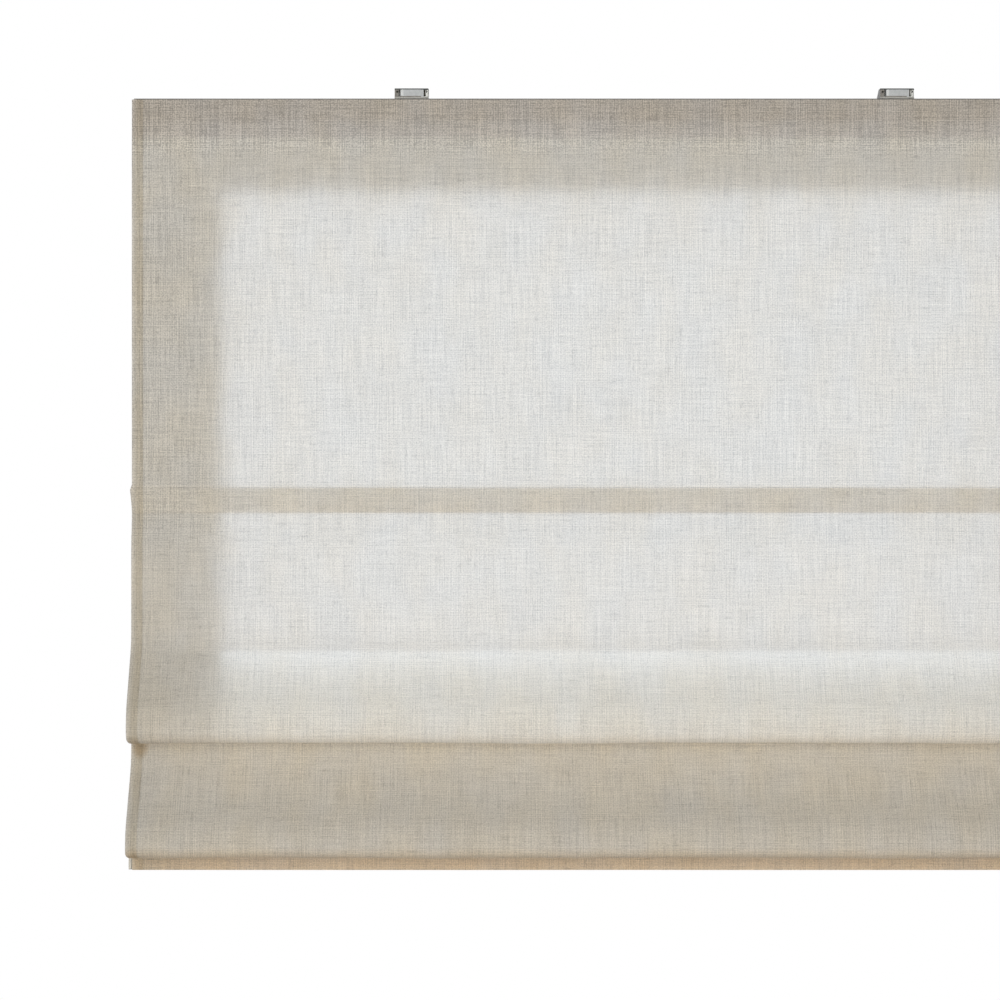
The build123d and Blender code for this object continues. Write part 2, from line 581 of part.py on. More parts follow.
def build():
    """Every node by its name."""
    nodes = {
        "headrail": headrail(),
        "hook_tape": tape(CLOTH_FACE_Y + CLOTH_T + TAPE_T * 1.5),
        "loop_tape": tape(CLOTH_FACE_Y + CLOTH_T + TAPE_T * 0.5),
        "blind_cloth": blind_cloth(),
        "lift_shaft": lift_shaft(),
        "spring_drum": spring_drum(),
        "bottom_bar": bottom_bar(),
    }
    nodes["spring_motor_case"], nodes["spring_motor_lid"] = motor_shell()
    for name, side in SIDES.items():
        nodes[f"end_cap_{name}"] = end_cap(side)
        nodes[f"bracket_{name}"] = bracket(side * BRACKET_SPACING / 2)
        nodes[f"bracket_lever_{name}"] = lever(side * BRACKET_SPACING / 2)
        nodes[f"cord_spool_{name}"] = cord_spool(side)
        nodes[f"cord_cradle_{name}"] = cord_cradle(side)
        nodes[f"lift_cord_{name}"] = lift_cord(side)
        nodes[f"bar_cap_{name}"] = bar_cap(side)
    for index in range(len(BATTEN_Z)):
        nodes[f"batten_{index + 1}"] = batten(index)
        nodes[f"cord_guides_{index + 1}"] = cord_guides(index)
    return nodes


os.makedirs("parts", exist_ok=True)
for node, shape in build().items():
    export_step(shape, f"parts/{node}.step")
print("sheet spans along the face", [round(Wire(span).length, 1) for span in sheet_spans()])
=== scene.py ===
"""Dresses the roman blind's frame: woven sheet, pockets, cords, rail, brackets, light and camera. Metres."""

import json
import logging
import math
from dataclasses import dataclass
from enum import Enum
from typing import Callable, NamedTuple, Sequence

import bpy
import numpy as np
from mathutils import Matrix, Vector

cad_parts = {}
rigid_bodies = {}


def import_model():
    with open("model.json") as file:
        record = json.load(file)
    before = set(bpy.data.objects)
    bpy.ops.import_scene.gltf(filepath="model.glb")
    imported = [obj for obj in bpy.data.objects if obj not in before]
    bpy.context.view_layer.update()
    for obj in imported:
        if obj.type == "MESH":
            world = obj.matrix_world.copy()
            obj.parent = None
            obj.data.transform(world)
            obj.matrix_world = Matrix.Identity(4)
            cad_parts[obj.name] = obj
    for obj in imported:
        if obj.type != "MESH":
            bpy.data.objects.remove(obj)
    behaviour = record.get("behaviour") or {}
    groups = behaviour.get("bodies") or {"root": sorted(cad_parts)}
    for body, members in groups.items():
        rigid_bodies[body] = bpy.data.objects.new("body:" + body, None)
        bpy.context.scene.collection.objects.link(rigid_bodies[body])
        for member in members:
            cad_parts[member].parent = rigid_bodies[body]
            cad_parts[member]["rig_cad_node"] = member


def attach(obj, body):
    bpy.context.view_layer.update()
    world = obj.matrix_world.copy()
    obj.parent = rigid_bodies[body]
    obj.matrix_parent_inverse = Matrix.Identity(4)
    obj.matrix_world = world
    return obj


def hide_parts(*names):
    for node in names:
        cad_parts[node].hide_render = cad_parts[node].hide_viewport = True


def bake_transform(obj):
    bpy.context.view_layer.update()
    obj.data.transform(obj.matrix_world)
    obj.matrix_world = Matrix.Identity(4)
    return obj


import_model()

LOG = logging.getLogger("roman_blind")

Triple = tuple[float, float, float]
Band = tuple[float, float]

PLAIN: Triple = (1.0, 1.0, 1.0)
MM_PER_METRE = 1000.0
MIDDLE_HALF = (0.3, 0.7)
UNDRAWN_GRAIN: Triple = (1.0, 1.0, 1.0)
DRAWN_GRAIN: Triple = (0.02, 1.0, 1.0)


class Side(Enum):
    """The blind's two ends, by the sign of their x."""

    LEFT = -1
    RIGHT = 1

    @property
    def word(self) -> str:
        """The side's word in the names of pieces."""
        return self.name.lower()


class Field:
    """A node's output that can be added, multiplied and compared like a number."""

    def __init__(self, graph: "Graph", socket: bpy.types.NodeSocket | None) -> None:
        """Keeps the graph and the socket."""
        self.graph = graph
        self.socket = socket

    def _math(self, operation: str, first: object, second: object = 0.0) -> "Field":
        """One Math node on two values."""
        return self.graph.add("ShaderNodeMath", {0: first, 1: second}, operation=operation)

    def __add__(self, other: object) -> "Field":
        """The sum."""
        return self._math("ADD", self, other)

    __radd__ = __add__

    def __sub__(self, other: object) -> "Field":
        """The difference."""
        return self._math("SUBTRACT", self, other)

    def __rsub__(self, other: object) -> "Field":
        """The difference, taken from a number."""
        return self._math("SUBTRACT", other, self)

    def __mul__(self, other: object) -> "Field":
        """The product."""
        return self._math("MULTIPLY", self, other)

    __rmul__ = __mul__

    def __truediv__(self, other: object) -> "Field":
        """The quotient."""
        return self._math("DIVIDE", self, other)

    def __lt__(self, other: object) -> "Field":
        """1 where the value is less, and 0 elsewhere."""
        return self._math("LESS_THAN", self, other)

    def sine(self) -> "Field":
        """The sine of the value in radians."""
        return self._math("SINE", self)

    def fract(self) -> "Field":
        """The part after the decimal point."""
        return self._math("FRACT", self)

    def away_from(self, level: float) -> "Field":
        """How far the value is from a level."""
        return self._math("ABSOLUTE", self - level)

    def spread(self, low: float, high: float, to_low: float, to_high: float) -> "Field":
        """The value carried from one range to another, held at its ends."""
        values = {"Value": self, "From Min": low, "From Max": high, "To Min": to_low, "To Max": to_high}
        return self.graph.add("ShaderNodeMapRange", values, clamp=True)

    def rising(self, low: float, high: float) -> "Field":
        """0 up to a low value, rising evenly to 1 at a high one."""
        return self.spread(low, high, 0.0, 1.0)

    def falling(self, low: float, high: float) -> "Field":
        """1 up to a low value, falling evenly to 0 at a high one."""
        return self.spread(low, high, 1.0, 0.0)


class Graph:
    """The node tree of a material or a world, filled one node at a time."""

    def __init__(self, owner: bpy.types.Material | bpy.types.World) -> None:
        """Empties the owner's tree.

        Args:
            owner: the material or the world.
        """
        self.owner = owner
        self.owner.use_nodes = True
        self.tree = self.owner.node_tree
        self.tree.nodes.clear()

    @classmethod
    def material(cls, name: str) -> "Graph":
        """The graph of a new material."""
        return cls(bpy.data.materials.new(name))

    def add(self, kind: str, inputs: dict | None = None, out: int | str = 0, **settings: object) -> Field:
        """Makes one node.

        Args:
            kind: the node's type.
            inputs: the values or fields for its sockets, by name or number.
            out: the output that is wanted.
            settings: the node's own properties.

        Returns:
            The wanted output as a field, which is empty for the tree's own output node.
        """
        node = self.tree.nodes.new(kind)
        for key, value in settings.items():
            setattr(node, key, value)
        for key, value in (inputs or {}).items():
            if isinstance(value, Field):
                self.tree.links.new(value.socket, node.inputs[key])
            else:
                node.inputs[key].default_value = value
        return Field(self, node.outputs[out] if node.outputs else None)

    def place(self) -> Field:
        """The place on the object, in metres."""
        return self.add("ShaderNodeTexCoord", out="Object")

    def split(self, where: Field) -> tuple[Field, Field, Field]:
        """A place's three coordinates.

        Args:
            where: the place.

        Returns:
            Its x, y and z.
        """
        x = self.add("ShaderNodeSeparateXYZ", {0: where}, out="X")
        outputs = x.socket.node.outputs
        return x, Field(self, outputs["Y"]), Field(self, outputs["Z"])

    def attribute(self, name: str) -> Field:
        """A number stored at the mesh's points."""
        return self.add("ShaderNodeAttribute", out="Fac", attribute_name=name)

    def noise(
        self, where: Field, scale: float, detail: float = 2.0, stretch: Sequence[float] = UNDRAWN_GRAIN
    ) -> Field:
        """Noise over a place, stretched along its axes.

        Args:
            where: the place.
            scale: how many patches lie in a metre.
            detail: how many finer layers are added.
            stretch: the share of the scale along each axis.

        Returns:
            Values about one half.
        """
        placed = self.add("ShaderNodeMapping", {"Vector": where, "Scale": [scale * k for k in stretch]})
        values = {"Vector": placed, "Scale": 1.0, "Detail": detail, "Roughness": 0.6}
        return self.add("ShaderNodeTexNoise", values)

    def tint(self, amount: Field, dark: Sequence[float], light: Sequence[float]) -> Field:
        """A colour between two, by an amount."""
        values = {0: amount, 6: (*dark, 1.0), 7: (*light, 1.0)}
        return self.add("ShaderNodeMix", values, out=2, data_type="RGBA")

    def pick(self, mask: Field, below: Field, above: Field) -> Field:
        """The first colour where the mask is 0 and the second where it is 1."""
        return self.add("ShaderNodeMix", {0: mask, 6: below, 7: above}, out=2, data_type="RGBA")

    def multiply(self, first: Field, second: Field) -> Field:
        """Two colours multiplied."""
        values = {0: 1.0, 6: first, 7: second}
        return self.add("ShaderNodeMix", values, out=2, data_type="RGBA", blend_type="MULTIPLY")

    def stain(self, colour: Field, mask: Field, stain: Sequence[float]) -> Field:
        """A colour multiplied by a tint where the mask is 1, to paint light and shade on the cloth."""
        return self.multiply(colour, self.tint(mask, PLAIN, stain))

    def bump(self, height: Field, depth: float) -> Field:
        """A normal bent by a height in metres."""
        return self.add("ShaderNodeBump", {"Height": height, "Strength": 1.0, "Distance": depth})

    def finish(
        self, shader: Field, output: str = "ShaderNodeOutputMaterial"
    ) -> bpy.types.Material | bpy.types.World:
        """Ends the tree in its surface output and gives back its owner."""
        self.add(output, {"Surface": shader})
        return self.owner


def two_scales(first: Field, second: Field) -> Field:
    """The middle halves of two noises, added to a shade from 0 to 1."""
    return first.spread(*MIDDLE_HALF, 0.0, 0.5) + second.spread(*MIDDLE_HALF, 0.0, 0.5)


@dataclass(frozen=True)
class Finish:
    """A surface: its colour, shine and the grain that breaks both up."""

    name: str
    colour: Triple
    roughness: float
    metallic: float = 0.0
    coat: float = 0.0
    grain_mm: float = 0.8
    grain_depth: float = 0.00002
    mottle: float = 0.05
    along: Triple = UNDRAWN_GRAIN
    alpha: float = 1.0
    shine_range: float = 0.06

    def grain(self, graph: Graph, where: Field) -> Field:
        """The fine grain over a piece."""
        return graph.noise(where, MM_PER_METRE / self.grain_mm, 3.0, self.along)

    def mottled(self, graph: Graph, shade: Field, darker: float, lighter: float) -> Field:
        """The colour between a darker and a lighter share of itself.

        Args:
            graph: the material's graph.
            shade: the amount of the lighter one.
            darker: the factor of the darker one.
            lighter: the factor of the lighter one, which stays under white.

        Returns:
            The colour over the piece.
        """
        dark = [c * darker for c in self.colour]
        light = [min(1.0, c * lighter) for c in self.colour]
        return graph.tint(shade, dark, light)

    def shine(self, shade: Field, low: float = 0.0, high: float = 1.0) -> Field:
        """The roughness, varied about its mean by a shade between two values."""
        return shade.spread(low, high, self.roughness - self.shine_range, self.roughness + self.shine_range)

    def material(self) -> bpy.types.Material:
        """A moulded or metal surface.

        Returns:
            The material, with its grain in colour, shine and relief.
        """
        graph = Graph.material(self.name)
        where = graph.place()
        grain = self.grain(graph, where)
        shade = two_scales(grain, graph.noise(where, 60.0))
        values = {
            "Base Color": self.mottled(graph, shade, 1 - self.mottle, 1 + self.mottle),
            "Roughness": self.shine(shade),
            "Metallic": self.metallic,
            "Coat Weight": self.coat,
            "Alpha": self.alpha,
            "Normal": graph.bump(grain, self.grain_depth),
        }
        return graph.finish(graph.add("ShaderNodeBsdfPrincipled", values))


class Surface(Enum):
    """The plain finishes, one colour each."""

    CAP = Finish("moulded_grey", (0.36, 0.35, 0.33), 0.50, grain_mm=0.35, grain_depth=0.00003)
    BAR = Finish("bar_alu", (0.70, 0.70, 0.70), 0.38, 1.0, grain_mm=0.3, along=DRAWN_GRAIN)
    SHAFT = Finish("shaft_steel", (0.56, 0.56, 0.57), 0.32, 1.0, grain_mm=0.3, along=(0.03, 1.0, 1.0))
    SPRING = Finish("spring_steel", (0.40, 0.41, 0.43), 0.30, 1.0, grain_mm=0.4)
    WHITE = Finish("moulded_white", (0.78, 0.78, 0.75), 0.46, grain_mm=0.35, grain_depth=0.00003)
    CREAM = Finish("moulded_cream", (0.67, 0.65, 0.59), 0.48, grain_mm=0.35, grain_depth=0.00003)
    LATH = Finish("batten_lath", (0.85, 0.86, 0.84), 0.30, grain_mm=0.6, along=(0.05, 1.0, 1.0), alpha=0.17)
    CASE = Finish("motor_grey", (0.33, 0.34, 0.35), 0.55, grain_mm=0.35, grain_depth=0.00004)


@dataclass(frozen=True)
class RailPaint(Finish):
    """Painted aluminium, drawn along its length, with painted shade on its front edge over the sheet."""

    name: str = "rail_grey"
    colour: Triple = (0.40, 0.39, 0.37)
    roughness: float = 0.42
    coat: float = 0.1
    grain_mm: float = 0.5
    grain_depth: float = 0.00001
    mottle: float = 0.07
    along: Triple = DRAWN_GRAIN
    edge_y: float = -0.0058
    edge_colours: tuple[Triple, Triple] = ((0.150, 0.141, 0.130), (0.190, 0.179, 0.166))

    def material(self) -> bpy.types.Material:
        """The paint of the rail.

        Returns:
            The material, with painted shade on the front edge where the rail's front lies over the sheet.
        """
        graph = Graph.material(self.name)
        where = graph.place()
        _, depth, _ = graph.split(where)
        grain = self.grain(graph, where)
        shade = two_scales(grain, graph.noise(where, 40.0))
        paint_tone = self.mottled(graph, shade, 1 - self.mottle, 1 + self.mottle)
        # painted shade on the front edge over the sheet
        edge = graph.tint(shade, *self.edge_colours)
        values = {
            "Base Color": graph.pick(depth < self.edge_y, paint_tone, edge),
            "Coat Weight": self.coat,
            "Roughness": self.shine(shade),
            "Normal": graph.bump(grain, self.grain_depth),
        }
        return graph.finish(graph.add("ShaderNodeBsdfPrincipled", values))


@dataclass(frozen=True)
class BracketZinc(Finish):
    """Zinc-coated steel: a lighter front panel with a painted highlight on one side edge, painted shade over
    the rest of the front and along its top edge, and a painted shadow in the screw hole.
    """

    name: str = "bracket_zinc"
    colour: Triple = (0.66, 0.66, 0.65)
    roughness: float = 0.41
    shine_range: float = 0.09
    metallic: float = 0.25
    grain_mm: float = 2.2
    x: float = 0.0
    front_y: float = -0.0060
    panel_y: float = -0.0066
    panel_half: float = 0.0095
    worn_half: float = 0.0014
    lip_z: float = -0.0085
    bare_z: float = -0.0012
    screw_at: tuple[float, float] = (-0.0145, -0.0034)
    screw_radius: float = 0.0011

    def material(self) -> bpy.types.Material:
        """The coating of one bracket.

        Returns:
            The material, laid out from the bracket's own middle.
        """
        graph = Graph.material(self.name)
        where = graph.place()
        place_x, depth, height = graph.split(where)
        across = place_x - self.x
        grain = self.grain(graph, where)
        shade = two_scales(grain, graph.noise(where, 320.0))
        plain = self.mottled(graph, shade, 0.86, 1.1)
        # painted shade over the front around the panel
        painted_front_shade = graph.tint(shade, (0.20, 0.185, 0.17), (0.36, 0.34, 0.31))
        lighter_panel = graph.tint(shade, (0.50, 0.52, 0.53), (0.66, 0.67, 0.68))
        # painted highlight on the panel's side edge
        painted_cheek_highlight = graph.tint(shade, (0.68, 0.70, 0.70), (0.84, 0.85, 0.85))
        lighter_panel = graph.pick(across.away_from(-self.panel_half) < self.worn_half, lighter_panel, painted_cheek_highlight)
        # painted shade along the front's top edge
        painted_top_shade = graph.tint(shade, (0.07, 0.08, 0.08), (0.13, 0.14, 0.14))
        lip = graph.tint(shade, (0.42, 0.41, 0.38), (0.56, 0.54, 0.50))
        # painted shadow in the screw hole
        socket = graph.tint(shade, (0.03, 0.03, 0.025), (0.06, 0.06, 0.05))
        front = depth < self.front_y
        low = height < self.lip_z
        colour = graph.pick(front, plain, painted_front_shade)
        colour = graph.pick(front * low, colour, lip)
        colour = graph.pick(front * (1 - (across < self.panel_half)) * (1 - low), colour, lighter_panel)
        colour = graph.pick(depth < self.panel_y, colour, lighter_panel)
        screw_x, screw_z = across - self.screw_at[0], height - self.screw_at[1]
        in_screw = (screw_x * screw_x + screw_z * screw_z) < self.screw_radius**2
        colour = graph.pick(front * in_screw, colour, socket)
        colour = graph.pick(front * (1 - (height < self.bare_z)), colour, painted_top_shade)
        values = {
            "Base Color": colour,
            "Roughness": self.shine(shade),
            "Metallic": self.metallic,
            "Normal": graph.bump(grain, self.grain_depth),
        }
        return graph.finish(graph.add("ShaderNodeBsdfPrincipled", values))


@dataclass(frozen=True)
class LeverPlastic(Finish):
    """Pale moulded plastic, with painted shade inside the curl of its finger tab and a painted shadow in the
    small hole.
    """

    name: str = "lever"
    colour: Triple = (0.78, 0.78, 0.75)
    roughness: float = 0.46
    grain_mm: float = 0.35
    grain_depth: float = 0.00003
    x: float = 0.0
    tab_y: float = -0.0030
    tab_z: float = -0.0078
    curl_x: float = 0.0142
    hole_at: tuple[float, float] = (0.0147, -0.0032)
    hole_radius: float = 0.0011

    def material(self) -> bpy.types.Material:
        """The plastic of one lever.

        Returns:
            The material, laid out from its bracket's middle.
        """
        graph = Graph.material(self.name)
        where = graph.place()
        place_x, depth, height = graph.split(where)
        grain = self.grain(graph, where)
        pale = self.mottled(graph, grain, 0.92, 1.08)
        # painted shade inside the tab's curl, and a painted shadow in its hole
        painted_curl_shade = graph.tint(grain, (0.035, 0.030, 0.020), (0.06, 0.055, 0.04))
        painted_hole_shade = graph.tint(grain, (0.004, 0.004, 0.004), (0.008, 0.008, 0.008))
        tab = (depth < self.tab_y) * (1 - (height < self.tab_z))
        inside = tab * (place_x < self.x + self.curl_x)
        hole_x, hole_z = place_x - (self.x + self.hole_at[0]), height - self.hole_at[1]
        hole = tab * ((hole_x * hole_x + hole_z * hole_z) < self.hole_radius**2)
        colour = graph.pick(inside, pale, painted_curl_shade)
        colour = graph.pick(hole, colour, painted_hole_shade)
        values = {
            "Base Color": colour,
            "Roughness": self.shine(grain, *MIDDLE_HALF),
            "Normal": graph.bump(grain, self.grain_depth),
        }
        return graph.finish(graph.add("ShaderNodeBsdfPrincipled", values))


@dataclass(frozen=True)
class TouchTape:
    """Hook and loop tape: a dull dark pile."""

    name: str = "touch_tape"
    dark: Triple = (0.16, 0.15, 0.14)
    light: Triple = (0.32, 0.31, 0.29)
    roughness: float = 0.95
    pile_scale: float = 1600.0
    pile_depth: float = 0.0006

    def material(self) -> bpy.types.Material:
        """The tape's pile.

        Returns:
            The material, with the pile in colour and relief.
        """
        graph = Graph.material(self.name)
        pile = graph.noise(graph.place(), self.pile_scale, 3.0)
        values = {
            "Base Color": graph.tint(pile, self.dark, self.light),
            "Roughness": self.roughness,
            "Normal": graph.bump(pile, self.pile_depth),
        }
        return graph.finish(graph.add("ShaderNodeBsdfPrincipled", values))


@dataclass(frozen=True)
class BraidedCord:
    """A braided cord: slanted strands that cross."""

    name: str = "braided_cord"
    dark: Triple = (0.58, 0.56, 0.51)
    light: Triple = (0.80, 0.78, 0.74)
    roughness: float = 0.8
    strand_scale: float = 420.0
    fibre_scale: float = 1800.0
    strand_depth: float = 0.0001

    def material(self) -> bpy.types.Material:
        """The cord's braid.

        Returns:
            The material, with strands and fibres in colour and relief.
        """
        graph = Graph.material(self.name)
        where = graph.place()
        strands = graph.add(
            "ShaderNodeTexWave",
            {"Vector": where, "Scale": self.strand_scale, "Distortion": 1.5},
            wave_type="BANDS",
            bands_direction="DIAGONAL",
        )
        braid = strands * 0.6 + graph.noise(where, self.fibre_scale) * 0.4
        values = {
            "Base Color": graph.tint(braid, self.dark, self.light),
            "Roughness": self.roughness,
            "Normal": graph.bump(braid, self.strand_depth),
        }
        return graph.finish(graph.add("ShaderNodeBsdfPrincipled", values))


class SheetMarks(NamedTuple):
    """Lines across the flat sheet, measured down from its top edge."""

    rims: list[float]
    under_fold: float
    end: float


@dataclass(frozen=True)
class SlubLinen:
    """Slub linen: uneven warp and weft, nubs and stitches, light that comes through it, and painted light and
    shade on its hems, pockets and folds.
    """

    name: str = "slub_linen"
    base: Triple = (0.690, 0.640, 0.560)
    glow: Triple = (0.86, 0.87, 0.88)
    passing: float = 0.30
    roughness: float = 0.88
    specular: float = 0.12
    thread_pitch: float = 2700.0
    stitch_pitch: float = 310.0
    stitch_share: float = 0.72
    stitch_half: float = 0.00035
    relief: float = 0.00035
    shade_gain: float = 0.32
    rail_gain: float = 0.85
    fold_gain: float = 0.10
    middle_tone: float = 0.47
    warm_cast: Triple = (1.003, 0.987, 0.958)
    cool_cast: Triple = (0.983, 0.993, 1.018)
    line_above: float = 0.3866
    line_below: float = 0.4145
    # the painted light and shade on the cloth, as tints
    hem_tint: Triple = (0.88, 0.85, 0.79)
    top_tint: Triple = (0.86, 0.84, 0.85)
    bar_tint: Triple = (1.07, 0.98, 0.86)
    groove_tint: Triple = (0.90, 0.90, 0.90)
    crest_tint: Triple = (1.10, 1.09, 1.08)
    rim_tint: Triple = (1.20, 1.17, 1.11)
    rim_warmth: tuple[Triple, Triple] = ((0.95, 0.93, 0.90), (0.95, 0.89, 0.81))
    rim_reach: tuple[float, float] = (0.020, 0.017)
    hem_rim_tint: Triple = (0.90, 0.84, 0.76)
    outer_tint: Triple = (1.10, 1.11, 1.14)
    under_fold_tint: Triple = (1.10, 1.09, 1.07)
    corner_shade: Triple = (0.82, 0.72, 0.59)
    corner_x: float = 0.4905
    corner_size: tuple[float, float] = (0.010, 0.014)
    window_edge: Band = (0.405, 0.450)
    rail_band: Band = (0.045, 0.060)
    shade_end: Band = (0.42, 0.46)
    fold_start: Band = (0.44, 0.48)
    fold_end: Band = (0.60, 0.66)
    crest_half: float = 0.0012
    groove_half: float = 0.0007
    top_hem_edge: Band = (0.0360, 0.0415)
    bar_hem_edge: Band = (0.0150, 0.0100)
    rim_half: Band = (0.0020, 0.0060)
    rim_fade: Band = (0.004, 0.02)
    hem_rim_half: Band = (0.005, 0.018)
    outer_edge: Band = (0.4950, 0.4990)
    lit_half: Band = (0.004, 0.009)

    def material(self, marks: SheetMarks) -> bpy.types.Material:
        """The woven cloth.

        Args:
            marks: where the folds, the shaded stretch and the end lie on the flat sheet.

        Returns:
            The material, which reads the sheet's own width and length.
        """
        graph = Graph.material(self.name)
        where = graph.add("ShaderNodeUVMap", uv_map="cloth")
        across, along, _ = graph.split(where)
        weave, nubs, tone = self.threads(graph, where, across, along)
        stitch = self.stitches(graph, across, along)
        ribs = graph.add("ShaderNodeTexWave", {"Vector": where, "Scale": 260.0, "Distortion": 0.6})
        height = weave * 0.7 + nubs * 0.5 + stitch * 0.8 + ribs * 0.1
        normal = graph.bump(height, self.relief)
        dark = [c * 0.66 for c in self.base]
        light = [min(1.0, c * 1.31) for c in self.base]
        patches = graph.noise(where, 22.0, 1.0, (1.0, 0.6, 1.0)).rising(0.35, 0.65)
        threads = graph.tint(tone - stitch * 0.25, dark, light)
        cast = graph.tint(patches, self.warm_cast, self.cool_cast)
        # the threads' colour, times the painted light and shade
        colour = graph.multiply(graph.multiply(threads, cast), self.stains(graph, across, along, marks))
        values = {
            "Base Color": colour,
            "Roughness": self.roughness,
            "Specular IOR Level": self.specular,
            "Normal": normal,
        }
        face = graph.add("ShaderNodeBsdfPrincipled", values)
        through = graph.tint(tone, [c * 0.86 for c in self.glow], [min(1.0, c * 1.12) for c in self.glow])
        behind = graph.add("ShaderNodeBsdfTranslucent", {"Color": through, "Normal": normal})
        return graph.finish(graph.add("ShaderNodeMixShader", {0: self.passing, 1: face, 2: behind}))

    def threads(self, graph: Graph, where: Field, across: Field, along: Field) -> tuple[Field, Field, Field]:
        """The warp and weft.

        Args:
            graph: the material's graph.
            where: the place on the flat sheet.
            across: its distance from the sheet's middle.
            along: its distance from the sheet's top edge.

        Returns:
            The weave's height, the dark nubs, and the tone from dark to light, which varies more in
            shade and under the rail.
        """
        fine_scale = MM_PER_METRE
        slub_up = graph.noise(where, fine_scale, 1.0, (0.60, 0.018, 1.0)).rising(0.32, 0.68)
        slub_across = graph.noise(where, fine_scale, 1.0, (0.022, 0.60, 1.0)).rising(0.32, 0.68)
        fine = graph.noise(where, fine_scale, 1.0, (0.70, 0.70, 1.0)).rising(0.32, 0.68)
        dark_up = graph.noise(where, fine_scale, 0.0, (0.50, 0.08, 1.0)).rising(0.68, 0.78)
        dark_across = graph.noise(where, fine_scale, 0.0, (0.09, 0.50, 1.0)).rising(0.69, 0.79)
        nubs = dark_up + dark_across
        warp_shown = graph.noise(where, 70.0, 1.0, (1.0, 0.4, 1.0)).spread(0.38, 0.62, 0.15, 1.0)
        weft_shown = graph.noise(where, 95.0, 1.0, (0.5, 1.0, 1.0)).spread(0.40, 0.64, 0.10, 1.0)
        warp = (across * self.thread_pitch + slub_up * 1.5).sine() * warp_shown
        weft = (along * self.thread_pitch + slub_across * 1.5).sine() * weft_shown
        weave = slub_up * 0.27 + slub_across * 0.21 + fine * 0.52
        broad = graph.noise(where, 14.0).spread(*MIDDLE_HALF, 0.0, 0.06)
        tone = weave * 0.90 + broad - nubs * 0.16 + (warp * 0.13 + weft * 0.10)
        in_shade = across.away_from(0.0).rising(*self.window_edge) * along.falling(*self.shade_end)
        under_rail = along.falling(*self.rail_band)
        in_fold = along.rising(*self.fold_start) * along.falling(*self.fold_end)
        gain = 1.0 + in_shade * self.shade_gain + under_rail * self.rail_gain - in_fold * self.fold_gain
        return weave, nubs, (tone - self.middle_tone) * gain + self.middle_tone

    def stitches(self, graph: Graph, across: Field, along: Field) -> Field:
        """The sewing along the pockets and the side hems.

        Args:
            graph: the material's graph.
            across: the distance from the sheet's middle.
            along: the distance from the sheet's top edge.

        Returns:
            1 on a stitch and 0 beside it.
        """
        on_row = graph.attribute("seam_rows") < self.stitch_half
        on_edge = graph.attribute("seam_edges") < self.stitch_half
        row_stitch = on_row * ((across * self.stitch_pitch).fract() < self.stitch_share)
        return row_stitch + on_edge * ((along * self.stitch_pitch).fract() < self.stitch_share)

    def stains(self, graph: Graph, across: Field, along: Field, marks: SheetMarks) -> Field:
        """The painted light and shade on the cloth, as one colour to multiply by: painted shade on the double
        hems, under the rail, in the groove, above the fold rims and in a fold's corner; painted highlights on
        the pocket's crest, the fold rims and the outer edges; painted warm light on the bar hem; and painted
        light under the upper fold.

        Args:
            graph: the material's graph.
            across: the distance from the sheet's middle.
            along: the distance from the sheet's top edge.
            marks: where the folds, the shaded stretch and the end lie on the flat sheet.

        Returns:
            The product of the painted tints.
        """
        hem = graph.attribute("hem")
        crest = along.away_from(self.line_above) < self.crest_half
        pocket_middle = (self.line_above + self.line_below) / 2
        pocket = along.away_from(pocket_middle) < (self.line_below - self.line_above) / 2
        groove = (along.away_from(self.line_below) < self.groove_half) * 0.8
        top_hem = along.falling(*self.top_hem_edge) * (1 - (along < 0.0))
        bar_hem = along.rising(*(marks.end - above for above in self.bar_hem_edge))
        # painted shade on the double hem, where less light comes through
        stain = graph.tint(hem, PLAIN, self.hem_tint)
        # painted shade on the top band in front of the rail
        stain = graph.stain(stain, top_hem, self.top_tint)
        # painted warm light on the bar hem
        stain = graph.stain(stain, bar_hem, self.bar_tint)
        # painted shade in the groove at the pocket's lower edge
        stain = graph.stain(stain, groove, self.groove_tint)
        # painted highlight on the pocket band and its upper crest
        stain = graph.stain(stain, pocket * 0.55 + crest * 0.45, self.crest_tint)
        for rim, rim_shade, reach in zip(marks.rims, self.rim_warmth, self.rim_reach):
            # at each fold's rim: a painted highlight, painted warm shade above it, and painted shade on the hem
            # near it
            edge = along.away_from(rim).falling(*self.rim_half)
            stain = graph.stain(stain, edge, self.rim_tint)
            below = along.falling(*(rim + run for run in self.rim_fade))
            stain = graph.stain(stain, along.rising(rim - reach, rim - reach / 2) * below, rim_shade)
            close = along.away_from(rim).falling(*self.hem_rim_half)
            stain = graph.stain(stain, close * hem, self.hem_rim_tint)
        from_middle = across.away_from(0.0)
        # painted highlight on the sheet's outer edges
        stain = graph.stain(stain, from_middle.rising(*self.outer_edge), self.outer_tint)
        # painted light on the lower fold just under the upper fold's rim
        lit = along.away_from(marks.under_fold).falling(*self.lit_half)
        stain = graph.stain(stain, lit, self.under_fold_tint)
        # painted shade in the corner at the side edge under the upper fold
        side = (from_middle - self.corner_x) / self.corner_size[0]
        down = (along - marks.under_fold - 0.001) / self.corner_size[1]
        corner = (side * side + down * down).falling(0.15, 1.0)
        return graph.stain(stain, corner, self.corner_shade)


